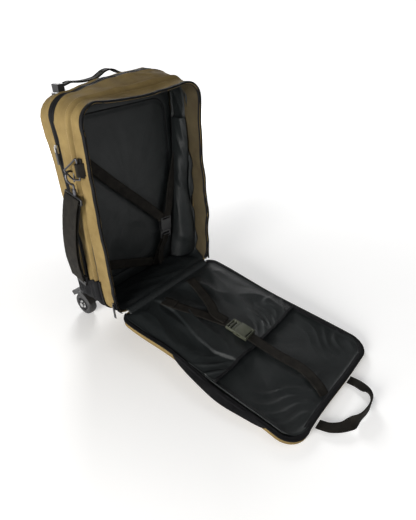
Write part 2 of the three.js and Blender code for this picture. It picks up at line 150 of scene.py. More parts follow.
def woven(name, dark, light, rough, thread, strength, shine, crease):
    """A plain weave: crossed threads of the given width, in metres, with worn and creased patches."""
    mat, tree, shader = new_material(name, light, rough, shine=shine)
    raw = coordinates(tree, "UV", (1, 1, 1))
    vary(tree, shader, raw, dark, light, 16.0)
    rate = 1 / (thread * 2 * math.pi) * 0.314
    warp = waves(tree, raw, "X", rate * 10, 0.4)
    weft = waves(tree, raw, "Y", rate * 10, 0.4)
    threads = combine(tree, "MULTIPLY", warp, weft)
    fine = node(tree, "ShaderNodeTexNoise", Scale=420.0, Detail=3.0)
    tree.links.new(raw, fine.inputs["Vector"])
    height = combine(tree, "ADD", threads, fine.outputs["Fac"])
    folds = node(tree, "ShaderNodeTexNoise", Scale=26.0, Detail=5.0, Distortion=1.2)
    tree.links.new(raw, folds.inputs["Vector"])
    height = combine(tree, "ADD", height, combine(tree, "MULTIPLY", folds.outputs["Fac"], crease))
    bump(tree, shader, height, strength, 0.0006)
    blotch = node(tree, "ShaderNodeTexNoise", Scale=60.0, Detail=4.0)
    tree.links.new(raw, blotch.inputs["Vector"])
    spread = node(tree, "ShaderNodeMapRange")
    spread.inputs["To Min"].default_value = rough - 0.08
    spread.inputs["To Max"].default_value = min(1.0, rough + 0.08)
    tree.links.new(blotch.outputs["Fac"], spread.inputs["Value"])
    tree.links.new(spread.outputs["Result"], shader.inputs["Roughness"])
    return mat


def ribbed(name, dark, light, rough, pitch, source="UV"):
    """Webbing: ribs across its length, every pitch metres, over a herringbone of finer threads."""
    mat, tree, shader = new_material(name, light, rough, shine=0.08)
    raw = coordinates(tree, source, (1, 1, 1))
    vary(tree, shader, raw, dark, light, 45.0)
    rate = 0.5 / pitch * 0.314
    ribs = waves(tree, raw, "Y", rate * 2, 0.2)
    threads = waves(tree, raw, "DIAGONAL", rate * 3, 0.2)
    height = combine(tree, "ADD", ribs, combine(tree, "MULTIPLY", threads, 0.5))
    bump(tree, shader, height, 0.55, 0.0007)
    return mat


def moulded(name, color, rough, grain):
    mat, tree, shader = new_material(name, color, rough)
    raw = coordinates(tree, "Object", (1, 1, 1))
    vary(tree, shader, raw, [c * 0.75 for c in color], [c * 1.3 for c in color], 30.0)
    pits = node(tree, "ShaderNodeTexVoronoi", Scale=grain)
    tree.links.new(raw, pits.inputs["Vector"])
    bump(tree, shader, pits.outputs["Distance"], 0.25, 0.0003)
    return mat


def plated(name, color, rough):
    mat, tree, shader = new_material(name, color, rough, metal=1.0)
    raw = coordinates(tree, "Object", (1, 1, 1))
    vary(tree, shader, raw, [c * 0.8 for c in color], color, 60.0)
    scratches = node(tree, "ShaderNodeTexNoise", Scale=300.0, Detail=5.0, Distortion=2.0)
    tree.links.new(raw, scratches.inputs["Vector"])
    bump(tree, shader, scratches.outputs["Fac"], 0.08, 0.0003)
    return mat


CANVAS = woven("canvas", (0.165, 0.115, 0.044), (0.232, 0.166, 0.066), 0.86, 0.0011, 0.45, 0.15, 0.7)
LINING = woven("lining", (0.0080, 0.0100, 0.0105), (0.0135, 0.0160, 0.0165), 0.46, 0.0006, 0.25, 0.32, 1.2)
# A darker copy of the canvas for the inner faces of the walls: painted shade inside the bag.
CANVAS_INSIDE_SHADE = woven("canvas_inside_painted_shade", (0.050, 0.038, 0.020), (0.080, 0.062, 0.032), 0.7, 0.0011, 0.45, 0.2, 1.5)
WEBBING = ribbed("webbing", (0.010, 0.009, 0.008), (0.020, 0.018, 0.015), 0.72, 0.0016)
TAPE = ribbed("zip_tape", (0.008, 0.008, 0.009), (0.014, 0.014, 0.015), 0.70, 0.0010)
PLASTIC = moulded("black_plastic", (0.013, 0.013, 0.014), 0.42, 900.0)
OLIVE = moulded("olive_plastic", (0.060, 0.064, 0.044), 0.42, 900.0)
STEEL = plated("steel", (0.62, 0.62, 0.62), 0.28)
DARK_STEEL = plated("dark_steel", (0.10, 0.10, 0.11), 0.34)
RUBBER = moulded("tyre_rubber", (0.020, 0.020, 0.021), 0.62, 500.0)
THREAD = ribbed("tan_thread", (0.26, 0.18, 0.08), (0.36, 0.26, 0.13), 0.8, 0.0006, "Object")
DARK_THREAD = ribbed("dark_thread", (0.03, 0.03, 0.028), (0.05, 0.05, 0.045), 0.8, 0.0006, "Object")

SLOT_LOOKS = {
    "canvas": CANVAS,
    "lining": LINING,
    "webbing": WEBBING,
    "black_plastic": PLASTIC,
    "steel": STEEL,
    "tyre_rubber": RUBBER,
    "olive_plastic": OLIVE,
}


# ---------------------------------------------------------------- mesh helpers
def make(name, verts, faces, mat, body, uvs=None, smooth=True):
    mesh = bpy.data.meshes.new(name)
    mesh.from_pydata([tuple(v) for v in verts], [], faces)
    mesh.materials.append(mat)
    if uvs:
        layer = mesh.uv_layers.new(name="UVMap")
        for loop in mesh.loops:
            layer.data[loop.index].uv = uvs[loop.vertex_index]
    for polygon in mesh.polygons:
        polygon.use_smooth = smooth
    mesh.update()
    made = bpy.data.objects.new(name, mesh)
    bpy.context.scene.collection.objects.link(made)
    if body:
        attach(made, body)
    return made


def outward(made):
    """Turns every face of a closed mesh to the outside."""
    work = bmesh.new()
    work.from_mesh(made.data)
    bmesh.ops.recalc_face_normals(work, faces=work.faces)
    work.to_mesh(made.data)
    work.free()
    return made


def smooth_path(points, count, closed=False):
    """Points spaced evenly along a curve through the given ones."""
    given = [Vector(p) for p in points]
    size = len(given)
    spans = size if closed else size - 1
    dense = []
    for i in range(spans):
        if closed:
            a, b, c, d = (given[(i + k) % size] for k in (-1, 0, 1, 2))
        else:
            b, c = given[i], given[i + 1]
            a = given[i - 1] if i else b * 2 - c
            d = given[i + 2] if i + 2 < size else c * 2 - b
        for k in range(24):
            t = k / 24
            p = b * 2 + (c - a) * t + (a * 2 - b * 5 + c * 4 - d) * t * t + (b * 3 - a - c * 3 + d) * t ** 3
            dense.append(p * 0.5)
    dense.append(given[0].copy() if closed else given[-1].copy())
    lengths = [0.0]
    for p, q in zip(dense, dense[1:]):
        lengths.append(lengths[-1] + (q - p).length)
    out = []
    j = 0
    for i in range(count):
        want = lengths[-1] * i / (count if closed else count - 1)
        while j < len(lengths) - 2 and lengths[j + 1] < want:
            j += 1
        t = (want - lengths[j]) / max(1e-9, lengths[j + 1] - lengths[j])
        out.append(dense[j].lerp(dense[j + 1], t))
    return out


def tangents(path, closed=False):
    size = len(path)
    found = []
    for i in range(size):
        before = path[i - 1] if i or closed else path[0]
        after = path[(i + 1) % size] if i < size - 1 or closed else path[-1]
        found.append((after - before).normalized())
    return found


def sweep(name, path, across, section, mat, body, closed=False):
    """Sweeps a closed section of (across, out) points down a path. across is one vector or one per point."""
    size = len(path)
    ways = across if isinstance(across, list) else [Vector(across)] * size
    verts, uvs, faces = [], [], []
    ring = len(section)
    gone = 0.0
    for i, (p, t, way) in enumerate(zip(path, tangents(path, closed), ways)):
        side = (way - t * way.dot(t)).normalized()
        out = t.cross(side).normalized()
        if i:
            gone += (p - path[i - 1]).length
        for a, b in section:
            verts.append(p + side * a + out * b)
            uvs.append((a, gone))
    steps = size if closed else size - 1
    for i in range(steps):
        for k in range(ring):
            a, b = i * ring + k, i * ring + (k + 1) % ring
            c, d = ((i + 1) % size) * ring + (k + 1) % ring, ((i + 1) % size) * ring + k
            faces.append((a, b, c, d))
    if not closed:
        faces.append(tuple(reversed(range(ring))))
        faces.append(tuple(range((size - 1) * ring, size * ring)))
    return outward(make(name, verts, faces, mat, body, uvs))


def strap_section(width, thick, across=6):
    """A flat band with rounded edges."""
    w, h = width / 2, thick / 2
    top = [(-w + h + (width - thick) * k / across, h) for k in range(across + 1)]
    low = [(a, -h) for a, _ in reversed(top)]
    return [(-w, 0.0)] + top + [(w, 0.0)] + low


def round_section(radius, count=12):
    turn = [2 * math.pi * k / count for k in range(count)]
    return [(radius * math.cos(a), radius * math.sin(a)) for a in turn]


def strap(name, points, across, width, thick, body, count):
    path = smooth_path(points, count)
    return sweep(name, path, across, strap_section(width, thick), WEBBING, body)


def rod(name, points, radius, body, count, mat=None, closed=False, sides=12):
    path = smooth_path(points, count, closed)
    hint = Vector((0.31, 0.52, 0.79))
    return sweep(name, path, hint, round_section(radius, sides), mat or STEEL, body, closed)


def stitch_line(name, points, normal, body, pitch=0.0042, mat=None, closed=False):
    """A row of raised stitches along a path, each a small rounded bar lying on the surface."""
    rough = smooth_path(points, 200, closed)
    length = sum((b - a).length for a, b in zip(rough, rough[1:]))
    count = max(2, int(length / pitch))
    path = smooth_path(points, count, closed)
    ways = normal if isinstance(normal, list) else None
    verts, faces = [], []
    for i, (p, t) in enumerate(zip(path, tangents(path, closed))):
        up = ways[min(len(ways) - 1, i * len(ways) // len(path))] if ways else Vector(normal)
        up = (up - t * up.dot(t)).normalized()
        side = t.cross(up)
        half = pitch * 0.36
        base = len(verts)
        for along, size in ((-half, 0.35), (-half * 0.6, 1.0), (half * 0.6, 1.0), (half, 0.35)):
            for a, b in ((-1, 0), (0, 1), (1, 0), (0, -1)):
                verts.append(p + t * along + (side * a + up * b) * 0.00042 * size)
        for r in range(3):
            for k in range(4):
                a, b = base + r * 4 + k, base + r * 4 + (k + 1) % 4
                faces.append((a, b, b + 4, a + 4))
        faces.append((base + 3, base + 2, base + 1, base))
        faces.append((base + 12, base + 13, base + 14, base + 15))
    return outward(make(name, verts, faces, mat or THREAD, body))


def thick_grid(name, place, columns, rows, thick, mat, body, span=(1.0, 1.0)):
    """A closed sheet: place(u, v) is its outer face, and its inner face lies thick behind it."""
    points = [[place(i / columns, j / rows) for i in range(columns + 1)] for j in range(rows + 1)]
    verts, uvs, faces = [], [], []
    wide, tall = columns + 1, rows + 1
    normals = []
    for j in range(tall):
        line = []
        for i in range(wide):
            du = points[j][min(i + 1, columns)] - points[j][max(i - 1, 0)]
            dv = points[min(j + 1, rows)][i] - points[max(j - 1, 0)][i]
            line.append(du.cross(dv).normalized())
        normals.append(line)
    for back in (0, 1):
        for j in range(tall):
            for i in range(wide):
                verts.append(points[j][i] - normals[j][i] * thick * back)
                uvs.append((i / columns * span[0], j / rows * span[1]))
    sheet = wide * tall
    for j in range(rows):
        for i in range(columns):
            a = j * wide + i
            faces.append((a, a + 1, a + wide + 1, a + wide))
            b = a + sheet
            faces.append((b, b + wide, b + wide + 1, b + 1))
    edge = [(0, i) for i in range(columns)] + [(j, columns) for j in range(rows)]
    edge += [(rows, i) for i in range(columns, 0, -1)] + [(j, 0) for j in range(rows, 0, -1)]
    for (j0, i0), (j1, i1) in zip(edge, edge[1:] + edge[:1]):
        a, b = j0 * wide + i0, j1 * wide + i1
        faces.append((a, a + sheet, b + sheet, b))
    return outward(make(name, verts, faces, mat, body, uvs))


def step(low, high, value):
    t = min(1.0, max(0.0, (value - low) / (high - low)))
    return t * t * (3 - 2 * t)


def hump(value, middle, width):
    return math.exp(-(((value - middle) / width) ** 2))


def ripple(x, y, z, seed=0.0):
    """Smooth noise from -1 to 1."""
    return noise.noise(Vector((x + seed, y - seed * 0.7, z + seed * 1.3)))


def block(name, low, high, radius, mat, body, holes=()):
    """A moulded block with rounded edges and optional through slots, each given as (low, high)."""
    def cube(a, b):
        made = bmesh.new()
        bmesh.ops.create_cube(made, size=1)
        size = Vector(b) - Vector(a)
        middle = (Vector(a) + Vector(b)) / 2
        for v in made.verts:
            v.co = Vector((v.co.x * size.x, v.co.y * size.y, v.co.z * size.z)) + middle
        return made

    mesh = bpy.data.meshes.new(name)
    work = cube(low, high)
    work.to_mesh(mesh)
    work.free()
    made = bpy.data.objects.new(name, mesh)
    bpy.context.scene.collection.objects.link(made)
    tools = []
    for index, (a, b) in enumerate(holes):
        cutter_mesh = bpy.data.meshes.new(f"{name}_slot_{index}")
        work = cube(a, b)
        work.to_mesh(cutter_mesh)
        work.free()
        cutter = bpy.data.objects.new(f"{name}_slot_{index}", cutter_mesh)
        bpy.context.scene.collection.objects.link(cutter)
        cut = made.modifiers.new("slot", "BOOLEAN")
        cut.object = cutter
        cut.solver = "EXACT"
        tools.append(cutter)
    edge = made.modifiers.new("edge", "BEVEL")
    edge.width = radius
    edge.segments = 3
    edge.limit_method = "ANGLE"
    edge.harden_normals = False
    settle(made)
    for cutter in tools:
        bpy.data.objects.remove(cutter)
    made.data.materials.clear()
    made.data.materials.append(mat)
    for polygon in made.data.polygons:
        polygon.use_smooth = True
    made.data.set_sharp_from_angle(angle=math.radians(35))
    if body:
        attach(made, body)
    return made


def settle(made):
    """Applies a piece's modifiers to its mesh."""
    bpy.context.view_layer.update()
    graph = bpy.context.evaluated_depsgraph_get()
    final = bpy.data.meshes.new_from_object(made.evaluated_get(graph))
    made.modifiers.clear()
    made.data = final
    return made


def turned(name, profile, centre, mat, body, count=64):
    """A closed ring about an axle along X, from (radius, x) points."""
    verts, faces = [], []
    size = len(profile)
    for i in range(count):
        a = 2 * math.pi * i / count
        for r, x in profile:
            verts.append(centre + Vector((x, r * math.cos(a), r * math.sin(a))))
    for i in range(count):
        for k in range(size):
            a, b = i * size + k, i * size + (k + 1) % size
            c, d = ((i + 1) % count) * size + (k + 1) % size, ((i + 1) % count) * size + k
            faces.append((a, b, c, d))
    made = outward(make(name, verts, faces, mat, body))
    made.data.set_sharp_from_angle(angle=math.radians(40))
    return made


# ---------------------------------------------------------------- the body's section
def rounded_outline(half, low, top, low_r, top_r):
    """Pieces of a rounded rectangle, from the bottom's middle up the left side and round: (length, place)."""
    def line(x0, z0, x1, z1, nx, nz):
        length = math.hypot(x1 - x0, z1 - z0)
        return length, lambda t: (x0 + (x1 - x0) * t, z0 + (z1 - z0) * t, nx, nz)

    def arc(cx, cz, r, start):
        def place(t):
            a = start - t * math.pi / 2
            return cx + r * math.cos(a), cz + r * math.sin(a), math.cos(a), math.sin(a)
        return r * math.pi / 2, place

    a, b = half - low_r, half - top_r
    return [
        line(0, low, -a, low, 0, -1),
        arc(-a, low + low_r, low_r, -math.pi / 2),
        line(-half, low + low_r, -half, top - top_r, -1, 0),
        arc(-b, top - top_r, top_r, math.pi),
        line(-b, top, b, top, 0, 1),
        arc(b, top - top_r, top_r, math.pi / 2),
        line(half, top - top_r, half, low + low_r, 1, 0),
        arc(a, low + low_r, low_r, 0),
        line(a, low, 0, low, 0, -1),
    ]


def on_outline(pieces, s):
    total = sum(p[0] for p in pieces)
    s = s % total
    for length, place in pieces:
        if s <= length:
            return place(s / length)
        s -= length
    return pieces[-1][1](1.0)


BODY = rounded_outline(HALF, LOW, TOP, LOW_R, TOP_R)
BODY_ROUND = sum(p[0] for p in BODY)
LEFT_FOOT = BODY[0][0] + BODY[1][0]
LEFT_HEAD = LEFT_FOOT + BODY[2][0]
TOP_START = LEFT_HEAD + BODY[3][0]


def seam_at(z):
    """Where the expansion fold runs on the sides: nearer the front at the top."""
    return -0.020 + 0.015 * step(TOP - 0.05, LOW + 0.03, z)


def crown(x):
    """How high the slack top stands along its rear fold: little at the left, most at the right."""
    heights = ((-0.175, 0.0), (-0.120, 0.001), (-0.075, 0.010), (-0.020, 0.018), (0.040, 0.022),
               (0.100, 0.024), (0.140, 0.018), (0.175, 0.004))
    for (x0, h0), (x1, h1) in zip(heights, heights[1:]):
        if x <= x1:
            return h0 + (h1 - h0) * step(x0, x1, x)
    return 0.0


def swell(x, z, nx, nz, y):
    """How far the canvas stands out from its plain section."""
    side, up, under = abs(nx), max(0.0, nz), max(0.0, -nz)
    rise = (z - LOW) / (TOP - LOW)
    d = 0.0045 * side * math.sin(math.pi * rise) * hump(y, -0.01, 0.045)
    d -= 0.0130 * max(0.0, -nx) * hump(rise, 0.50, 0.34) * step(0.010, 0.100, y)
    seam = seam_at(z)
    lively = 1 - under
    d -= 0.0060 * lively * hump(y, seam, 0.0030)
    d += 0.0046 * lively * hump(y, seam + 0.0075, 0.0050)
    d += 0.0012 * lively * hump(y, seam - 0.0055, 0.0035)
    d += 0.0022 * lively * (hump(y, 0.0325, 0.004) + hump(y, 0.0630, 0.004))
    d -= 0.0010 * lively * hump(y, 0.048, 0.009)
    d += 0.0022 * lively * ripple(x * 7, y * 12, z * 8)
    d += 0.0011 * lively * ripple(x * 22 + z * 9, y * 34, z * 26, 4.0)
    fold = 1 - abs(ripple(x * 9 + y * 16, y * 20 - z * 10, z * 8, 9.0)) * 3.2
    d += 0.0016 * lively * max(0.0, fold)
    d -= 0.013 * up * (1 - (x / HALF) ** 2) * step(0.03, FRONT, y)
    d += up * crown(x) * step(-0.050, 0.054, y) * step(0.0735, 0.060, y)
    d -= 0.006 * up * step(0.06, 0.15, -x) * step(0.070, 0.090, y)
    lip = step(-0.005, FRONT, y) * max(0.0, nx)
    d += lip * (0.0085 * hump(z, 0.245, 0.075) - 0.0040 * hump(z, 0.43, 0.06) + 0.002 * math.sin(z * 60))
    d += step(-0.02, FRONT, y) * max(0.0, -nx) * 0.0010 * math.sin(z * 34 + 1)
    return d


def skin(s, y, inset=0.0):
    """A point of the canvas at s along the section and y deep, inset from its outer face."""
    x, z, nx, nz = on_outline(BODY, s)
    d = swell(x, z, nx, nz, y) - inset
    return Vector((x + nx * d, y, z + nz * d))


def skin_normal(s, y):
    du = skin(s + 0.002, y) - skin(s - 0.002, y)
    dv = skin(s, y + 0.001) - skin(s, y - 0.001)
    return du.cross(dv).normalized()


def closed_rings(name, rings, mat, body, spacing):
    """Joins rings of points into one closed mesh, with a point at each end; spacing is a ring's length."""
    count = len(rings[0])
    verts, uvs, faces = [], [], []
    first = sum(rings[0], Vector()) / count
    last = sum(rings[-1], Vector()) / count
    run = 0.0
    for r, ring in enumerate(rings):
        if r:
            run += (ring[0] - rings[r - 1][0]).length
        verts.extend(ring)
        uvs.extend((i / count * spacing, run) for i in range(count))
    for r in range(len(rings) - 1):
        for i in range(count):
            a, b = r * count + i, r * count + (i + 1) % count
            faces.append((a, b, b + count, a + count))
    head, tail = len(verts), len(verts) + 1
    verts.extend([first, last])
    uvs.extend([(0, 0), (0, run)])
    for i in range(count):
        j = (i + 1) % count
        faces.append((j, i, head))
        base = (len(rings) - 1) * count
        faces.append((base + i, base + j, tail))
    return outward(make(name, verts, faces, mat, body, uvs))


def canvas_body():
    count = 330
    at = [BODY_ROUND * i / count for i in range(count)]
    centre = Vector((0, 0, (LOW + TOP) / 2))

    def flat(scale, y, inset, bulge=0.0):
        ring = []
        for s in at:
            edge = skin(s, 0.090, inset)
            p = centre + (Vector((edge.x, 0, edge.z)) - centre) * scale
            p.y = y + bulge * (1 - scale ** 4) + 0.0012 * ripple(p.x * 14, 3, p.z * 14) * (1 - scale ** 6)
            ring.append(p)
        return ring

    rings = [flat(k, BACK - 0.005, 0.016) for k in (0.25, 0.5, 0.75, 0.95, 1.0)]
    rings += [[skin(s, y, 0.005) for s in at] for y in (0.093, 0.06, 0.04, 0.02, 0.0, -0.02, -0.04, -0.052)]
    for inset, y in ((0.0046, -0.0575), (0.0028, FRONT - 0.0004), (0.0009, -0.0578)):
        rings.append([skin(s, y, inset) for s in at])
    y = -0.0550
    while y < 0.0920:
        rings.append([skin(s, y) for s in at])
        near = min(abs(y + 0.012), abs(y - 0.048))
        y += 0.0012 if near < 0.014 else 0.0030
    for turn in range(1, 6):
        a = turn / 5 * math.pi / 2
        rings.append([skin(s, 0.0920 + 0.012 * math.sin(a), 0.012 * (1 - math.cos(a))) for s in at])
    rings += [flat(k, BACK - 0.001, 0.012, 0.0006)
              for k in (0.97, 0.9, 0.8, 0.68, 0.56, 0.44, 0.32, 0.2, 0.1)]
    shell = closed_rings("canvas_body", rings, CANVAS, "bag_body", BODY_ROUND)
    # The inner faces, from the back panel's inside to the lip, take the darker canvas copy: painted shade.
    shell.data.materials.append(CANVAS_INSIDE_SHADE)
    for polygon in shell.data.polygons:
        if 4 * count <= polygon.vertices[0] < 13 * count:
            polygon.material_index = 1
    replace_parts(shell, "left_side_panel", "right_side_panel", "top_gusset", "bottom_gusset", "back_panel")
    back_edge = [skin(s, 0.0965, 0.0022) for s in at[::3]]
    piping = sweep("back_piping", back_edge, Vector((0, 1, 0)), round_section(0.0022, 8), CANVAS,
                   "bag_body", True)


def along_skin(name, y_at, start, end, width, lift, thick, mat):
    """A flat band laid on the canvas from start to end along its section, at the depth y_at(z)."""
    path = []
    for i in range(220):
        s = start + (end - start) * i / 219
        y = y_at(on_outline(BODY, s)[1])
        path.append(skin(s, y) + skin_normal(s, y) * lift)
    return sweep(name, path, Vector((0, 1, 0)), strap_section(width, thick), mat, "bag_body")


def teeth(name, path, across, up, pitch, width, mat, body):
    """A zip's coil: a row of small rounded teeth that meet along the path."""
    count = int(sum((b - a).length for a, b in zip(path, path[1:])) / pitch)
    fine = smooth_path(path, count)
    verts, faces = [], []
    for i, (p, t) in enumerate(zip(fine, tangents(fine))):
        k = min(len(across) - 1, i * len(across) // count)
        side = (across[k] - t * across[k].dot(t)).normalized()
        out = up[k]
        lean = side * (width / 2) * (0.25 if i % 2 else -0.25)
        base = len(verts)
        for a, b, c in ((-1, -0.36, 0), (1, -0.36, 0), (1, 0.36, 0), (-1, 0.36, 0)):
            verts.append(p + lean + side * a * width / 2 + t * b * pitch)
        for a, b in ((-0.8, -0.26), (0.8, -0.26), (0.8, 0.26), (-0.8, 0.26)):
            verts.append(p + lean + side * a * width / 2 + t * b * pitch + out * 0.0011)
        faces.append((base, base + 1, base + 2, base + 3))
        faces.append((base + 7, base + 6, base + 5, base + 4))
        for e in range(4):
            f = (e + 1) % 4
            faces.append((base + e, base + 4 + e, base + 4 + f, base + f))
    return outward(make(name, verts, faces, mat, body, smooth=False))


def body_trim():
    def tooth_row(name, y, start, end, width, lift):
        spots = [start + (end - start) * i / 160 for i in range(161)]
        ups = [skin_normal(s, y) for s in spots]
        path = [skin(s, y) + n * lift for s, n in zip(spots, ups)]
        teeth(name, path, [Vector((0, 1, 0))] * 161, ups, 0.0026, width, TAPE, "bag_body")

    rear_start = LEFT_FOOT + 0.040
    rear_end = BODY_ROUND - rear_start
    tape = along_skin("rear_zip_tape", lambda z: 0.048, rear_start, rear_end, 0.021, 0.0009, 0.0010, TAPE)
    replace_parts(tape, "rear_zipper_chain")
    tooth_row("rear_zip_teeth", 0.048, rear_start + 0.004, rear_end - 0.004, 0.0055, 0.0013)
    front_start = BODY[0][0] + 0.020
    front_end = BODY_ROUND - front_start
    tape = along_skin("main_zip_tape", lambda z: FRONT + 0.0035, front_start, front_end,
                      0.010, 0.0009, 0.0012, TAPE)
    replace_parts(tape, "main_zipper_chain")
    tooth_row("main_zip_teeth", FRONT + 0.0010, front_start, front_end, 0.0045, 0.0010)
    binding_path = []
    for i in range(240):
        s = front_start + (front_end - front_start) * i / 239
        binding_path.append(skin(s, FRONT + 0.0038, 0.0026))
    binding = sweep("opening_binding", binding_path, Vector((0, 1, 0)), strap_section(0.0085, 0.0062), TAPE,
                    "bag_body")
    # A dark band laid in the expansion fold on the sides: painted shade in the crease.
    fold = along_skin("seam_shade_band", seam_at, LEFT_FOOT, BODY_ROUND - LEFT_FOOT, 0.0034, 0.0006, 0.0012, TAPE)
    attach(fold, "bag_body")
    for name, y in (("seam_stitches_front", -0.0075), ("seam_stitches_back", 0.0085)):
        path, ups = [], []
        for i in range(180):
            s = LEFT_FOOT + (BODY_ROUND - 2 * LEFT_FOOT) * i / 179
            at = seam_at(on_outline(BODY, s)[1]) + y
            ups.append(skin_normal(s, at))
            path.append(skin(s, at) + ups[-1] * 0.0002)
        stitch_line(name, path, ups, "bag_body", 0.0045)
    for side, out in (("left", -1), ("right", 1)):
        corner_guard(side, out)


def side_spot(out, y, z, lift=0.0):
    """A point on the left or right wall at a height, for out -1 or 1."""
    z = min(max(z, LOW + 0.001), TOP - TOP_R)
    if z >= LOW + LOW_R:
        s = LEFT_FOOT + (z - LOW - LOW_R)
    else:
        a = math.asin((LOW + LOW_R - z) / LOW_R)
        s = LEFT_FOOT - a * LOW_R
    if out > 0:
        s = BODY_ROUND - s
    return skin(s, y) + skin_normal(s, y) * lift


def corner_guard(side, out):
    """The dark reinforcing patch over the low rear corner, with its stitched border."""
    def top_edge(y):
        return 0.174 - 0.030 * step(-0.016, 0.090, y)

    def place(u, v):
        y = -0.016 + 0.112 * u
        z = 0.0865 + (top_edge(y) - 0.0865) * v
        return side_spot(out, y, z, 0.0021)

    patch = thick_grid(f"guard_patch_{side}", place, 36, 30, 0.0016, TAPE, "bag_body",
                       (0.108, 0.09))
    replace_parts(patch, f"corner_guard_{side}")
    border = [(-0.013, 0.090), (-0.013, 0.130), (-0.013, 0.168)]
    border += [(y / 1000, top_edge(y / 1000) - 0.0035) for y in range(-8, 96, 8)]
    points = [side_spot(out, y, z, 0.0024) for y, z in border]
    stitch_line(f"guard_stitches_{side}", points, (out, 0, 0), "bag_body", 0.0042, DARK_THREAD)
    hem = [side_spot(out, -0.016 + 0.112 * i / 20, 0.0885, 0.0014) for i in range(21)]
    sweep(f"guard_piping_{side}", hem, Vector((0, 0, 1)), round_section(0.0021, 8), CANVAS,
          "bag_body")


# ---------------------------------------------------------------- inside the main compartment
def lining_edge(s):
    """How far forward the lining reaches: to the hinge below, and short of the lip elsewhere."""
    x, z, nx, nz = on_outline(BODY, s)
    under = step(0.0, 1.0, max(0.0, -nz)) if z < LOW + LOW_R else 0.0
    wall = -0.016 + 0.004 * math.sin(z * 31) + 0.003 * math.sin(z * 77)
    return wall * (1 - under) + (FRONT + 0.004) * under


def lining_shell():
    count = 260
    at = [BODY_ROUND * i / count for i in range(count)]
    depth = [i / 22 for i in range(23)]

    def ring(share, outer):
        made = []
        for s in at:
            x, z, nx, nz = on_outline(BODY, s)
            y = lining_edge(s) + (DIVIDER + 0.001 - lining_edge(s)) * share
            inset = 0.0062
            if not outer:
                crease = 1 - abs(ripple(x * 11 + y * 9, y * 17, z * 12 - y * 14, 2.0)) * 2.6
                puff = 0.5 + 0.5 * ripple(x * 9, y * 15, z * 9, 7.0)
                inset = 0.0075 + (0.0045 * puff + 0.0035 * max(0.0, crease)) * step(0, 0.15, share)
            made.append(skin(s, y, inset))
        return made

    rings = [ring(share, False) for share in depth] + [ring(share, True) for share in reversed(depth)]
    verts = [p for r in rings for p in r]
    uvs = [(i / count * BODY_ROUND, r * 0.005) for r in range(len(rings)) for i in range(count)]
    faces = []
    for r in range(len(rings)):
        for i in range(count):
            a, b = r * count + i, r * count + (i + 1) % count
            c, d = ((r + 1) % len(rings)) * count + (i + 1) % count, ((r + 1) % len(rings)) * count + i
            faces.append((a, b, c, d))
    outward(make("compartment_lining", verts, faces, LINING, "bag_body", uvs))


def divider():
    """The padded panel at the back: crowned, dented by the straps, with a piped line inside its edge."""
    half, low, top = 0.1675, LOW + 0.0075, TOP - 0.0075
    outline = rounded_outline(half, low, top, 0.024, 0.042)
    total = sum(p[0] for p in outline)
    count = 200
    centre = Vector((0, 0, (low + top) / 2))
    straps = (((-0.157, 0.488), (0.074, 0.241)), ((0.154, 0.394), (0.098, 0.241)),
              ((0.046, 0.101), (0.080, 0.177)))

    def dent(x, z):
        most = 0.0
        for (x0, z0), (x1, z1) in straps:
            long = math.hypot(x1 - x0, z1 - z0)
            t = ((x - x0) * (x1 - x0) + (z - z0) * (z1 - z0)) / long ** 2
            if -0.05 < t < 1.05:
                off = abs((x - x0) * (z1 - z0) - (z - z0) * (x1 - x0)) / long
                most = max(most, hump(off, 0, 0.026))
        return most

    def ring(scale, front):
        made = []
        for i in range(count):
            x, z, _, _ = on_outline(outline, total * i / count)
            p = centre + (Vector((x, 0, z)) - centre) * scale
            crown = 0.0065 * (1 - scale ** 8) + 0.0016 * ripple(p.x * 11, 0, p.z * 9, 3.0) * (1 - scale ** 4)
            pull = 1 - abs(ripple(p.x * 13 + p.z * 7, 1, p.z * 6 - p.x * 9, 12.0)) * 3
            crown += 0.0034 * max(0.0, pull) * (1 - scale ** 6) * (0.25 + 0.75 * step(0.42, 0.16, p.z))
            crown -= 0.0042 * dent(p.x, p.z) * (1 - scale ** 8)
            groove = 0.0022 * hump(scale, 0.845, 0.012)
            p.y = DIVIDER + 0.0035 - crown + groove if front else DIVIDER + 0.0080
            made.append(p)
        return made

    fronts = [0.03] + [k / 44 for k in range(3, 44)] + [0.985, 0.995, 1.0]
    rings = [ring(k, True) for k in fronts]
    for p in rings[-1]:
        p.y = DIVIDER + 0.0052
    rings += [ring(k, False) for k in (0.995, 0.9, 0.6, 0.3, 0.05)]
    pad = closed_rings("divider_pad", rings, LINING, "bag_body", total)
    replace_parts(pad, "padded_divider")
    path = []
    for i in range(count):
        x, z, _, _ = on_outline(outline, total * i / count)
        p = centre + (Vector((x, 0, z)) - centre) * 0.845
        p.y = DIVIDER + 0.0005 + 0.0042 * dent(p.x, p.z)
        path.append(p)
    sweep("divider_piping", path, Vector((0, 1, 0)), round_section(0.0019, 8), TAPE,
          "bag_body", True)
    band_points = [(-0.150, 0.0322, 0.185), (-0.090, 0.0312, 0.162), (-0.020, 0.0315, 0.134),
                   (0.034, 0.0325, 0.110)]
    band = strap("divider_band", band_points, Vector((0.39, 0, 0.92)), 0.027, 0.0022, "bag_body", 30)
    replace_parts(band, "divider_webbing_band")


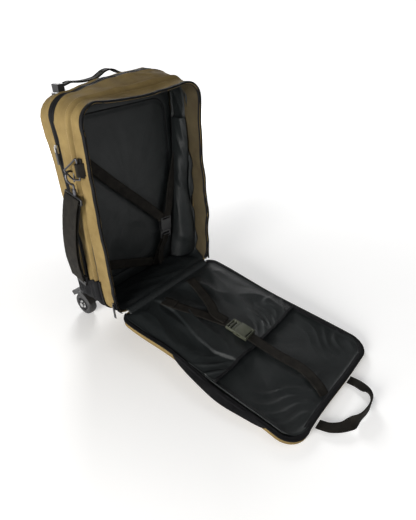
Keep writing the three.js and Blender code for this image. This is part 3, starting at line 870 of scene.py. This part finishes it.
def side_drape():
    """The mesh pocket on the right wall: nylon that hangs inward from the wall to the divider."""
    def place(u, v):
        z = 0.098 + 0.405 * v
        near = Vector((0.1655, -0.010 - 0.006 * math.sin(v * 9), z))
        reach = 0.158 - 0.052 * (1 - v) ** 1.3
        far = Vector((reach, 0.0290, z))
        p = near.lerp(far, u)
        belly = math.sin(math.pi * u) * (0.006 + 0.010 * (1 - v))
        out = Vector((-0.75, -0.66, 0))
        crease = 1 - abs(ripple(p.x * 8 + z * 10, p.y * 20, z * 11 - p.y * 30, 21.0)) * 2.4
        p += out * (belly + 0.0045 * max(0.0, crease) * math.sin(math.pi * min(1, u * 1.15 + 0.02)))
        return p

    drape = thick_grid("side_drape", place, 40, 110, 0.0012, LINING, "bag_body", (0.08, 0.40))
    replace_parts(drape, "side_pocket")
    hem = [place(1.0, i / 60) for i in range(61)]
    edge = sweep("side_drape_hem", hem, Vector((1, 0, 0)), round_section(0.0018, 8), TAPE,
                 "bag_body")
    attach(edge, "bag_body")


def buckle(name, centre, up, face, socket_body, latch_body, mat, nodes):
    """A side-release buckle: socket towards up, latch the other way, its face towards face."""
    up, face = Vector(up).normalized(), Vector(face).normalized()
    side = up.cross(face).normalized()
    turn = Matrix((side, -face, up)).transposed().to_4x4()
    turn.translation = centre
    w, k = 0.0190, 0.0145

    def placed(part, low, high, radius, holes, body):
        made = block(f"{name}_{part}", low, high, radius, mat, None, holes=holes)
        made.data.transform(turn)
        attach(made, body)
        return made

    socket = placed("socket_shell", (-w, -0.0050, 0), (w, 0.0050, 0.0385), 0.0022, [
        ((-k, -0.0032, -0.001), (k, 0.0032, 0.026)),
        ((-w - 0.001, -0.0024, 0.009), (-w + 0.0055, 0.0024, 0.021)),
        ((w - 0.0055, -0.0024, 0.009), (w + 0.001, 0.0024, 0.021)),
        ((-k, -0.006, 0.0320), (k, 0.006, 0.0362)),
    ], socket_body)
    latch = placed("latch_frame", (-w + 0.0005, -0.0040, -0.0245), (w - 0.0005, 0.0040, -0.0008), 0.0016, [
        ((-k, -0.006, -0.0215), (k, 0.006, -0.0172)),
        ((-k, -0.006, -0.0128), (k, 0.006, -0.0086)),
    ], latch_body)
    for index, x in enumerate((-0.0135, 0.0135)):
        placed(f"prong_{index}", (x - 0.0024, -0.0020, -0.002), (x + 0.0024, 0.0020, 0.0195), 0.001, [],
               latch_body)
    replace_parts(socket, nodes[0])
    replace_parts(latch, nodes[1])


def packing_straps():
    y = DIVIDER - 0.0042
    left = [(-0.1665, 0.030, 0.497), (-0.150, 0.0305, 0.480), (-0.060, y - 0.005, 0.383),
            (0.030, y - 0.010, 0.290), (0.072, y - 0.0135, 0.243), (0.084, y - 0.014, 0.233)]
    made = strap("packing_strap_left", left, Vector((0.73, 0, 0.68)), 0.027, 0.0020, "bag_body", 60)
    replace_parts(made, "strap_upper_left")
    right = [(0.161, 0.024, 0.404), (0.150, 0.0245, 0.380), (0.124, 0.023, 0.315), (0.104, 0.019, 0.255),
             (0.092, 0.018, 0.234)]
    made = strap("packing_strap_right", right, Vector((0.95, 0, -0.31)), 0.027, 0.0020, "bag_body", 50)
    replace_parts(made, "strap_upper_right")
    low = [(0.040, 0.033, 0.095), (0.052, 0.0315, 0.112), (0.066, 0.028, 0.142), (0.080, 0.0235, 0.172),
           (0.084, 0.0215, 0.184)]
    made = strap("packing_strap_low", low, Vector((0.92, 0, -0.38)), 0.027, 0.0020, None, 40)
    made.parent = None
    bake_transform(made)
    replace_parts(made, "strap_lower")
    tail = [(0.082, 0.0165, 0.182), (0.074, 0.0150, 0.168), (0.062, 0.0190, 0.145), (0.056, 0.0200, 0.118),
            (0.058, 0.0190, 0.102)]
    loose = strap("packing_strap_tail", tail, Vector((0.93, 0.2, -0.30)), 0.025, 0.0018, None, 40)
    loose.parent = None
    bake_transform(loose)
    buckle("packing_buckle", Vector((0.086, 0.0215, 0.199)), (0.10, 0, 1), (0, -1, 0), "bag_body",
           "strap_latch", PLASTIC, ("strap_buckle_socket", "strap_buckle_latch"))


# ---------------------------------------------------------------- the lid
def on_lid(x, l, h):
    """A point of the lid: x across, l from the hinge line towards the far end, h above its rim's top."""
    c, s = math.cos(SLOPE), math.sin(SLOPE)
    return HINGE + Vector((x, -l * c - h * s, -l * s + h * c))


LID = rounded_outline(HALF, 0.001, LID_LONG, LOW_R, TOP_R)
LID_ROUND = sum(p[0] for p in LID)


def lid_edge(s, inset, h):
    """A point near the lid's rim, with the slack of its cloth. s starts at the middle of the hinge side."""
    x, l, nx, nl = on_outline(LID, s)
    left, right, end = max(0.0, -nx), max(0.0, nx), max(0.0, nl)
    d = 0.0085 * left * step(0.22, 0.40, l) + 0.0025 * left * math.sin(l * 26)
    d += 0.0035 * right * math.sin(l * 14 + 0.5) - 0.0015 * end * (1 - math.sin(x * 22))
    lift = 0.0018 * (math.sin(l * 19 + x * 7) - 1) * (left + right) + 0.0015 * end * (math.cos(x * 19) - 1)
    lift -= 0.0035 * left * step(0.25, 0.45, l)
    d -= inset
    return on_lid(x + nx * d, l + nl * d, h + lift * step(-0.016, -0.003, h))


def lid_canvas():
    count = 260
    at = [LID_ROUND * i / count for i in range(count)]

    def flat(scale, h, sag):
        made = []
        for s in at:
            x, l, nx, nl = on_outline(LID, s)
            x, l = x * scale, 0.26 + (l - 0.26) * scale
            quiver = sag * ripple(x * 10, l * 10, 4) * (1 - scale ** 6)
            made.append(on_lid(x, l, h + quiver))
        return made

    rings = [flat(k, -0.0128, 0.0003) for k in (0.1, 0.4, 0.7, 0.9, 0.955)]
    profile = ((0.0060, -0.0125), (0.0052, -0.0105), (0.0050, -0.0050), (0.0048, -0.0024), (0.0040, -0.0011))
    profile += ((0.0028, -0.0006), (0.0012, -0.0011), (0.0004, -0.0024), (0.0, -0.0050), (-0.0006, -0.0090))
    profile += ((0.0, -0.0125), (0.0014, -0.0150), (0.0040, -0.0164))
    rings += [[lid_edge(s, inset, h) for s in at] for inset, h in profile]
    rings += [flat(k, -0.0168, 0.0008) for k in (0.95, 0.88, 0.8, 0.7, 0.6, 0.5, 0.4, 0.3, 0.2, 0.1)]
    shell = closed_rings("lid_canvas", rings, CANVAS, "lid", LID_ROUND)
    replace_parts(shell, "lid_panel", "lid_rim")
    seam = [lid_edge(s, 0.0016, -0.0152) for s in at]
    sweep("lid_piping", seam, Vector((0, 0, 1)), round_section(0.0019, 8), CANVAS, "lid", True)
    start, end = LID[0][0] + 0.012, LID_ROUND - LID[0][0] - 0.012

    def rim_band(name, s0, s1, inset, h, width, tilt, thick, count):
        path, ways = [], []
        for i in range(count):
            s = s0 + (s1 - s0) * i / (count - 1)
            a, b = lid_edge(s, inset + 0.004, h), lid_edge(s, inset - 0.004, h - 0.008 * tilt)
            path.append(lid_edge(s, inset, h))
            ways.append((b - a).normalized())
        return sweep(name, path, ways, strap_section(width, thick), TAPE, "lid")

    rim_band("lid_zip_tape", start, end, 0.0030, 0.0003, 0.0105, 0.1, 0.0013, 260)
    spots = [start + (end - start) * i / 200 for i in range(201)]
    path = [lid_edge(s, 0.0012, 0.0003) for s in spots]
    ways = [(lid_edge(s, 0.0, 0.002) - lid_edge(s, 0.01, 0.002)).normalized() for s in spots]
    teeth("lid_zip_teeth", path, ways, [on_lid(0, 0, 1) - on_lid(0, 0, 0)] * 201, 0.0026, 0.0040, TAPE, "lid")
    rim_band("lid_inner_binding", start, end, 0.0090, -0.0010, 0.0080, -0.5, 0.0020, 260)
    flap()


def flap():
    """The dark weather flap along the left long side, splayed outward over the rim."""
    s0 = LID[0][0] + LID[1][0] + 0.15
    s1 = s0 + 0.275

    def place(u, v):
        s = s0 + (s1 - s0) * v
        wide = 0.022 * math.sin(math.pi * min(1, v * 1.02)) ** 0.35 if 0 < v < 1 else 0.0
        out = -0.006 + wide * u
        drop = 0.0012 - 0.0060 * u ** 1.6 + 0.0012 * math.sin(v * 16 + u * 2)
        return lid_edge(s, -out, drop)

    thick_grid("lid_flap", place, 10, 90, 0.0014, TAPE, "lid", (0.026, 0.28))


def lid_height(x, l):
    """The lid lining's height above the rim's top, with its folds."""
    near_edge = min(HALF - 0.006 - abs(x), l - 0.006, LID_LONG - 0.006 - l)
    free = step(0.0, 0.045, near_edge)
    h = -0.0065 + 0.0040 * free * ripple(x * 6, l * 6, 1)
    h += 0.0022 * free * ripple(x * 17, l * 14, 5)
    for cx, cl, lean in ((-0.115, 0.455, -0.9), (0.125, 0.440, 0.8), (-0.04, 0.490, -0.2)):
        spread = hump(x, cx, 0.055) * hump(l, cl, 0.060)
        across = (x - cx) + lean * (l - cl)
        crease = 1 - abs(math.sin(across * 80 + 5.0 * ripple(x * 11, l * 11, 8)))
        h += 0.0040 * spread * crease ** 2
    return h + 0.0040 * (1 - step(0.0, 0.012, near_edge))


POCKET_END = 0.305
FOLD = ((-0.076, 0.022), (-0.073, 0.091), (-0.102, 0.196), (-0.107, 0.250), (-0.094, 0.295))


def fold_x(l):
    for (x0, l0), (x1, l1) in zip(FOLD, FOLD[1:]):
        if l <= l1:
            return x0 + (x1 - x0) * (l - l0) / (l1 - l0)
    return FOLD[-1][0]


def pocket_height(x, l):
    """The nylon pocket over the near half of the lid: slack, creased towards its hem, with one long fold."""
    near_edge = min(HALF - 0.010 - abs(x), l - 0.010)
    free = step(0.0, 0.030, near_edge)
    towards_hem = step(0.10, POCKET_END, l)
    h = -0.0018 + 0.0055 * free * (0.5 + 0.5 * ripple(x * 7 + 3, l * 6, 2))
    fine = 1 - abs(ripple(x * 16, l * 7 + x * 5, 11)) * 2.6
    h += 0.0040 * free * max(0.0, fine)
    for cx, cl, lean, rate in ((0.125, 0.262, 1.3, 90), (0.060, 0.275, 0.6, 110), (-0.150, 0.280, -1.0, 100)):
        spread = hump(x, cx, 0.042) * hump(l, cl, 0.032)
        crease = 1 - abs(math.sin(((x - cx) + lean * (l - cl)) * rate + 5 * ripple(x * 13, l * 13, 3)))
        h += 0.0042 * spread * crease ** 2
    at = fold_x(l)
    h += 0.0060 * free * step(at - 0.002, at + 0.004, x) * (1 - 0.75 * step(at + 0.004, at + 0.080, x))
    swirl = fold_x(l) + 0.085 + 0.050 * math.sin(l * 13)
    h += 0.0035 * free * hump(x, swirl, 0.014) * step(0.26, 0.10, l)
    return h - 0.0015 * towards_hem * free


def lid_linings():
    inset = 0.0056
    floor = rounded_outline(HALF - inset, 0.001 + inset, LID_LONG - inset, LOW_R - inset, TOP_R - inset)
    total = sum(p[0] for p in floor)
    count = 220
    rings = []
    for k in [0.02] + [i / 70 for i in range(2, 71)]:
        made = []
        for i in range(count):
            x, l, _, _ = on_outline(floor, total * i / count)
            x, l = x * k, 0.26 + (l - 0.26) * k
            made.append(on_lid(x, l, lid_height(x, l)))
        rings.append(made)
    for k in (0.998, 0.7, 0.4, 0.1):
        made = []
        for i in range(count):
            x, l, _, _ = on_outline(floor, total * i / count)
            made.append(on_lid(x * k, 0.26 + (l - 0.26) * k, -0.0124))
        rings.append(made)
    lining = closed_rings("lid_lining_cloth", rings, LINING, "lid", total)
    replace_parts(lining, "lid_lining")

    def place(u, v):
        l = 0.012 + (POCKET_END - 0.012) * v
        corner = min(0.0, l - LOW_R) / LOW_R
        wide = HALF - 0.0075 - 0.012 * corner * corner
        x = -wide + 2 * wide * u
        bow = 0.006 * math.sin(math.pi * u) * v
        return on_lid(x, l + bow, max(pocket_height(x, l), lid_height(x, l) + 0.0016))

    pocket = thick_grid("lid_pocket_cloth", place, 130, 110, 0.0009, LINING, "lid", (0.34, 0.30))
    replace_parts(pocket, "lid_pocket")
    hem = [place(i / 70, 1.0) + Vector((0, 0, 0.0006)) for i in range(71)]
    band = sweep("lid_pocket_hem", hem, Vector((0, 1, 0)), strap_section(0.0085, 0.0022), TAPE, "lid")
    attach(band, "lid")


def hinge_cloth():
    """The fold of lining that joins the body's floor to the lid."""
    def place(u, v):
        x = (-0.5 + u) * 0.300
        t = v
        start = Vector((x, FRONT + 0.006, LOW + 0.0075))
        end = on_lid(x, 0.016, -0.0035)
        p = start.lerp(end, t)
        p.z += 0.0048 * math.sin(math.pi * t) + 0.0012 * ripple(x * 24, t * 2, 1) * math.sin(math.pi * t)
        return p

    cloth = thick_grid("hinge_fold", place, 60, 14, 0.0012, LINING, None, (0.30, 0.03))
    cloth.parent = None
    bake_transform(cloth)

    def under(u, v):
        x = (-0.5 + u) * 0.290
        start = Vector((x, FRONT - 0.0005, LOW + 0.0005))
        end = on_lid(x, 0.0010, -0.0100)
        p = start.lerp(end, v)
        p.z -= 0.0025 * math.sin(math.pi * v)
        return p

    strip = thick_grid("hinge_strip", under, 60, 8, 0.0012, CANVAS, None, (0.29, 0.02))
    strip.parent = None
    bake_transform(strip)


def lid_straps():
    def at(points):
        return [on_lid(x, l, h) for x, l, h in points]

    up = (on_lid(0, 0, 1) - on_lid(0, 0, 0)).normalized()
    near = [(-0.062, 0.060, 0.0085), (-0.054, 0.090, 0.0095), (-0.034, 0.155, 0.0095),
            (-0.019, 0.205, 0.0085), (-0.013, 0.232, 0.0080)]
    made = strap("lid_strap_a", at(near), Vector((0.94, 0.33, 0.04)), 0.027, 0.0020, None, 50)
    made.parent = None
    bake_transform(made)
    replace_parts(made, "lid_strap_near")
    patch = [(-0.0655, 0.046, 0.0100), (-0.0605, 0.065, 0.0105), (-0.0560, 0.082, 0.0108)]
    strap("lid_strap_patch", at(patch), Vector((0.95, 0.26, 0.04)), 0.032, 0.0024, "lid", 14)
    corners = [(-0.077, 0.050, 0.0120), (-0.070, 0.080, 0.0122), (-0.043, 0.074, 0.0122),
               (-0.050, 0.045, 0.0118)]
    stitch_line("lid_patch_stitches", at(corners), up, "lid", 0.0036, DARK_THREAD, True)
    tail = [(-0.012, 0.214, 0.0115), (-0.013, 0.178, 0.0130), (0.005, 0.149, 0.0125), (0.026, 0.102, 0.0110),
            (0.040, 0.062, 0.0120), (0.048, 0.038, 0.0115)]
    loose = strap("lid_strap_tail", at(tail), Vector((0.92, 0.38, 0.10)), 0.0255, 0.0018, None, 60)
    loose.parent = None
    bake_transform(loose)
    far = [(-0.012, 0.282, 0.0085), (-0.012, 0.320, 0.0060), (-0.010, 0.374, 0.0030), (-0.008, 0.432, 0.0035),
           (-0.022, 0.480, 0.0015), (-0.033, 0.503, -0.0035)]
    made = strap("lid_strap_b", at(far), Vector((1, 0.05, 0.02)), 0.027, 0.0020, "lid", 60)
    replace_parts(made, "lid_strap_far")
    buckle("lid_release_buckle", on_lid(-0.012, 0.250, 0.0105), on_lid(0, 1, 0) - on_lid(0, 0, 0), up, "lid",
           "lid_latch", OLIVE, ("lid_buckle_socket", "lid_buckle_latch"))


def lid_grab():
    """The webbing handle at the far end: flat where it is sewn on, turned on edge where a hand takes it."""
    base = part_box("lid_handle")[1].y - 0.002
    points = [(-0.101, 0.0005, 0.0085), (-0.100, -0.006, 0.0090), (-0.093, -0.026, 0.0095),
              (-0.072, -0.048, 0.0110), (-0.036, -0.063, 0.0145), (0.004, -0.066, 0.0150),
              (0.034, -0.052, 0.0120), (0.046, -0.026, 0.0095), (0.047, -0.006, 0.0090),
              (0.047, 0.0005, 0.0085)]
    path = smooth_path([(x, base + y, z) for x, y, z in points], 90)
    ways = []
    for i, t in enumerate(tangents(path)):
        u = i / 89
        stand = step(0.22, 0.46, u) * step(0.86, 0.62, u)
        flat = t.cross(Vector((0, 0, 1))).normalized()
        ways.append((flat * (1 - stand) + Vector((0, 0, -1)) * stand * (1.0)).normalized())
    made = sweep("grab_handle", path, ways, strap_section(0.025, 0.0024), WEBBING, "lid_grab_handle")
    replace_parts(made, "lid_handle")


# ---------------------------------------------------------------- outside the body
RING = Vector((-0.189, -0.036, 0.469))


def ring_and_hook():
    def near(*offsets):
        return [RING + Vector(p) / 1000 for p in offsets]

    tab = near((11, 8, -2), (4, 5.6, -2), (-3.4, 3, -2), (-5, 0, -2), (-3.4, -3, -2), (4, -5.6, -2),
               (11, -8, -2))
    loop = sweep("ring_tab", smooth_path(tab, 40), Vector((0, 0, 1)), strap_section(0.029, 0.0020), WEBBING,
                 "bag_body")
    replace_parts(loop, "ring_loop")

    def seat(u, v):
        return side_spot(-1, RING.y - 0.0055 + 0.011 * u, 0.448 + 0.042 * v, 0.0022)

    thick_grid("ring_tab_base", seat, 8, 14, 0.0020, WEBBING, "bag_body", (0.011, 0.042))
    corners = [side_spot(-1, RING.y + y, z, 0.0026)
               for y, z in ((-0.0040, 0.451), (-0.0040, 0.487), (0.0040, 0.487), (0.0040, 0.451))]
    stitch_line("ring_tab_stitches", corners, (-1, 0, 0), "bag_body", 0.0036, DARK_THREAD, True)
    triangle = near((0, 0, -21), (0, 0, 0), (0, 0, 20), (-0.6, 3, 21.5), (-3, 20, 9), (-6, 41, -6),
                    (-6, 43, -9), (-5.4, 36, -15), (-5, 22, -22), (-4.6, 17, -23.5), (-1, 2, -23))
    made = rod("ring_wire", triangle, 0.0020, "ring_and_hook", 120, DARK_STEEL, True)
    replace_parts(made, "triangle_ring")
    hook = near((-4, 25, -54), (-4, 25, -38), (-9, 25.6, -34), (-15, 26.5, -25), (-14.6, 27.4, -14),
                (-9, 28, -8), (-2, 28, -8), (1.5, 28, -10))
    made = rod("hook_bow", hook, 0.0024, "ring_and_hook", 70, DARK_STEEL)
    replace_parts(made, "snap_hook")
    rod("hook_swivel", near((-4, 25, -61), (-4, 25, -48)), 0.0042, "ring_and_hook", 12, DARK_STEEL, sides=20)
    lever = near((0.8, 26, -33), (3, 27, -24), (5.5, 28, -15))
    gate = rod("hook_lever", lever, 0.0016, "gate", 24, DARK_STEEL)
    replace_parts(gate, "hook_gate")


STRAP_TOP = Vector((-0.191, 0.002, 0.397))
STRAP_LEAN = math.radians(13.8)


def on_strap(x, y, z):
    c, s = math.cos(STRAP_LEAN), math.sin(STRAP_LEAN)
    return STRAP_TOP + Vector((x, y * c - z * s, y * s + z * c))


def carry_strap():
    across = on_strap(0, 1, 0) - on_strap(0, 0, 0)
    frame_path = [(-0.0005, -0.0280, 0.008), (-0.0005, 0.0280, 0.008), (-0.0005, 0.0280, -0.0055),
                  (-0.0005, -0.0280, -0.0055)]
    dense = []
    for a, b in zip(frame_path, frame_path[1:] + frame_path[:1]):
        dense += [Vector(a).lerp(Vector(b), t) for t in (0.12, 0.5, 0.88)]
    made = rod("strap_rectangle", [on_strap(*p) for p in dense], 0.0026, "ring_and_hook", 110, PLASTIC, True)
    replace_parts(made, "strap_loop")
    outer = [(-0.0045, 0, 0.007), (-0.0085, 0, -0.006), (-0.013, 0, -0.030), (-0.0175, 0, -0.074),
             (-0.0190, 0, -0.122), (-0.0160, 0, -0.170), (-0.009, 0, -0.208), (-0.0030, 0, -0.238)]
    inner = [(0.0025, 0, 0.004), (0.0005, 0, -0.012), (-0.004, 0, -0.036), (-0.0100, 0, -0.078),
             (-0.0120, 0, -0.122), (-0.0090, 0, -0.168), (-0.0040, 0, -0.204), (0.0000, 0, -0.232)]
    layers = (("shoulder_strap_outer", outer, 0.050), ("shoulder_strap_inner", inner, 0.0485))
    for name, points, width in layers:
        path = [on_strap(*p) for p in points]
        made = strap(name, path, across, width, 0.0022, None, 90)
        made.parent = None
        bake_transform(made)
        if name.endswith("outer"):
            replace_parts(made, "side_strap")
    box_corners = [(-0.0144, -0.0185, -0.040), (-0.0144, 0.0185, -0.040), (-0.0172, 0.0185, -0.070),
                   (-0.0172, -0.0185, -0.070)]
    lead = [on_strap(x - 0.0014, y, z) for x, y, z in box_corners]
    made = stitch_line("shoulder_strap_stitches", lead, (-1, 0, 0.2), None, 0.0040, DARK_THREAD, True)
    made.parent = None
    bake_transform(made)


def top_handle():
    low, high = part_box("carry_handle")
    y = (low.y + high.y) / 2
    z = TOP + 0.013
    points = [(-0.1105, y, z), (-0.103, y, z + 0.0020), (-0.092, y, z + 0.0040), (-0.075, y, z + 0.0020),
              (-0.055, y, z + 0.0010), (-0.026, y, z + 0.0035), (-0.010, y, z + 0.0095),
              (0.002, y, z + 0.0150), (0.016, y, z + 0.0175), (0.030, y, z + 0.0150),
              (0.048, y, z + 0.0070), (0.074, y, z + 0.0015), (0.0975, y, z)]
    made = strap("top_handle_strap", points, Vector((0, 1, 0)), 0.0235, 0.0034, "top_handle", 100)
    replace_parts(made, "carry_handle")
    for name, x0, x1 in (("left", -0.1210, -0.1080), ("right", 0.0950, 0.1080)):
        rod(f"top_handle_pin_{name}", [(x0, y, z), ((x0 + x1) / 2, y, z), (x1, y, z)], 0.0029,
            "top_handle", 10)
    for dy in (-0.0085, 0.0085):
        line = [(a, y + dy, c + 0.0019) for a, _, c in points[1:-1]]
        side = "front" if dy < 0 else "back"
        stitch_line(f"top_handle_stitches_{side}", line, (0, 0, 1), "top_handle", 0.0040, DARK_THREAD)


def wheels():
    tyre = [(0.0223, -0.0128), (0.0270, -0.0130), (0.0300, -0.0118), (0.0318, -0.0096), (0.0328, -0.0060),
            (0.0330, -0.0022), (0.0324, -0.0016), (0.0324, 0.0016), (0.0330, 0.0022), (0.0328, 0.0060),
            (0.0318, 0.0096), (0.0300, 0.0118), (0.0270, 0.0130), (0.0223, 0.0128)]
    hub = [(0.0114, -0.0118), (0.0140, -0.0118), (0.0150, -0.0080), (0.0180, -0.0070), (0.0200, -0.0116),
           (0.0220, -0.0122), (0.0220, 0.0122), (0.0200, 0.0116), (0.0180, 0.0070), (0.0150, 0.0080),
           (0.0140, 0.0118), (0.0114, 0.0118)]
    bearing = [(0.0045, -0.0115), (0.0062, -0.0115), (0.0066, -0.0108), (0.0094, -0.0108), (0.0098, -0.0115),
               (0.0110, -0.0115), (0.0110, 0.0115), (0.0098, 0.0115), (0.0094, 0.0108), (0.0066, 0.0108),
               (0.0062, 0.0115), (0.0045, 0.0115)]
    for side, out in (("left", -1), ("right", 1)):
        centre = Vector((WHEEL.x * out, WHEEL.y, WHEEL.z))
        body = f"{side}_wheel"
        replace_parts(turned(f"wheel_tyre_{side}", tyre, centre, RUBBER, body, 96),
                    f"tyre_{side}")
        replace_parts(turned(f"wheel_hub_{side}", hub, centre, PLASTIC, body), f"hub_{side}")
        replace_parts(turned(f"wheel_bearing_{side}", bearing, centre, STEEL, body), f"bearing_{side}")
        for face in (-1, 1):
            spokes = []
            for k in range(5):
                a = 2 * math.pi * k / 5 + 0.3
                inner = centre + Vector((face * 0.0088, 0.0142 * math.cos(a), 0.0142 * math.sin(a)))
                outer = centre + Vector((face * 0.0092, 0.0206 * math.cos(a), 0.0206 * math.sin(a)))
                spokes.append((inner, outer))
            for k, (a, b) in enumerate(spokes):
                name = f"wheel_rib_{side}_{'in' if face * out < 0 else 'out'}_{k}"
                made = sweep(name, [a, a.lerp(b, 0.5), b], Vector((1, 0, 0)),
                             strap_section(0.0052, 0.0030, 2), PLASTIC, body)


def carried_over():
    """Finishes for the CAD pieces that stay as they are."""
    slots = {part["node"]: part["material_slot"] for part in frame["record"]["subparts"]}
    for name, piece in frame["nodes"].items():
        look = SLOT_LOOKS[slots[name]]
        piece.data.materials.clear()
        piece.data.materials.append(look)
    for name in ("main_zipper_left_slider", "main_zipper_right_slider"):
        frame["nodes"][name].data.materials[0] = DARK_STEEL
    for name in ("inner_tube_left", "inner_tube_right"):
        frame["nodes"][name].data.materials[0] = STEEL


# ---------------------------------------------------------------- stage, light and camera
def stage():
    mat, tree, shader = new_material("floor_paper", (0.86, 0.86, 0.86), 0.9)
    raw = coordinates(tree, "Object", (1, 1, 1))
    vary(tree, shader, raw, (0.84, 0.84, 0.84), (0.88, 0.88, 0.88), 0.8)
    # The floor glows as painted light. The glow is full strength far from the bag and dimmed near it, so the
    # lamps' shadows show there.
    shader.inputs["Emission Color"].default_value = (1, 1, 1, 1)
    near = coordinates(tree, "Object", (0.36, 0.36, 0.36))
    fade = node(tree, "ShaderNodeTexGradient", gradient_type="SPHERICAL")
    tree.links.new(near, fade.inputs["Vector"])
    glow = node(tree, "ShaderNodeMapRange")
    glow.inputs["To Min"].default_value = 1.0
    glow.inputs["To Max"].default_value = 0.12
    tree.links.new(fade.outputs["Fac"], glow.inputs["Value"])
    tree.links.new(glow.outputs["Result"], shader.inputs["Emission Strength"])
    rows, columns = 40, 2
    verts, faces = [], []
    for j in range(rows + 1):
        t = j / rows
        if t < 0.6:
            y, z = -6 + 16 * t / 0.6, 0.0
        else:
            a = (t - 0.6) / 0.4 * math.pi / 2
            y, z = 10 + 4 * math.sin(a), 4 * (1 - math.cos(a))
        for i in range(columns + 1):
            p = Vector((-14 + 28 * i / columns, y, z - 0.0004))
            p.rotate(Matrix.Rotation(CAMERA_YAW, 3, "Z"))
            verts.append(p)
    for j in range(rows):
        for i in range(columns):
            a = j * (columns + 1) + i
            faces.append((a, a + 1, a + columns + 2, a + columns + 1))
    floor = make("studio_floor", verts, faces, mat, None)
    world = bpy.data.worlds.new("studio")
    bpy.context.scene.world = world
    world.use_nodes = True
    background = world.node_tree.nodes["Background"]
    background.inputs["Color"].default_value = (1, 1, 1, 1)
    background.inputs["Strength"].default_value = 0.12


def lamp(name, place, aim, size, power, color=(1, 1, 1)):
    data = bpy.data.lights.new(name, "AREA")
    data.shape = "RECTANGLE"
    data.size, data.size_y = size
    data.energy = power
    data.color = color
    made = bpy.data.objects.new(name, data)
    bpy.context.scene.collection.objects.link(made)
    made.location = place
    made.rotation_euler = (Vector(aim) - Vector(place)).to_track_quat("-Z", "Y").to_euler()


def lights_and_camera():
    lamp("key_left", (-2.4, -0.5, 0.85), (0, 0, 0.3), (1.2, 1.0), 80, (1.0, 0.985, 0.96))
    lamp("overhead_front", (0.6, -2.0, 2.3), (0, -0.3, 0.1), (1.6, 1.2), 9)
    lamp("rear_right", (1.6, 1.9, 1.5), (0, -0.3, 0.1), (1.0, 1.0), 48)
    data = bpy.data.cameras.new("camera")
    data.sensor_width = SENSOR
    data.lens = LENS
    data.shift_x = SHIFT_X
    data.shift_y = SHIFT_Y
    data.clip_end = 100
    made = bpy.data.objects.new("camera", data)
    bpy.context.scene.collection.objects.link(made)
    level = math.cos(CAMERA_PITCH)
    ahead = Vector((-math.sin(CAMERA_YAW) * level, math.cos(CAMERA_YAW) * level, -math.sin(CAMERA_PITCH)))
    right = Vector((math.cos(CAMERA_YAW), math.sin(CAMERA_YAW), 0))
    up = right.cross(ahead)
    right_rolled = right * math.cos(CAMERA_ROLL) + up * math.sin(CAMERA_ROLL)
    up_rolled = up * math.cos(CAMERA_ROLL) - right * math.sin(CAMERA_ROLL)
    turn = Matrix((right_rolled, up_rolled, -ahead)).transposed().to_4x4()
    turn.translation = CAMERA_PLACE
    made.matrix_world = turn
    bpy.context.scene.camera = made
    bpy.context.scene.view_settings.view_transform = "Standard"


canvas_body()
body_trim()
lining_shell()
divider()
side_drape()
packing_straps()
lid_canvas()
lid_linings()
hinge_cloth()
lid_straps()
lid_grab()
ring_and_hook()
carry_strap()
top_handle()
wheels()
carried_over()
stage()
lights_and_camera()
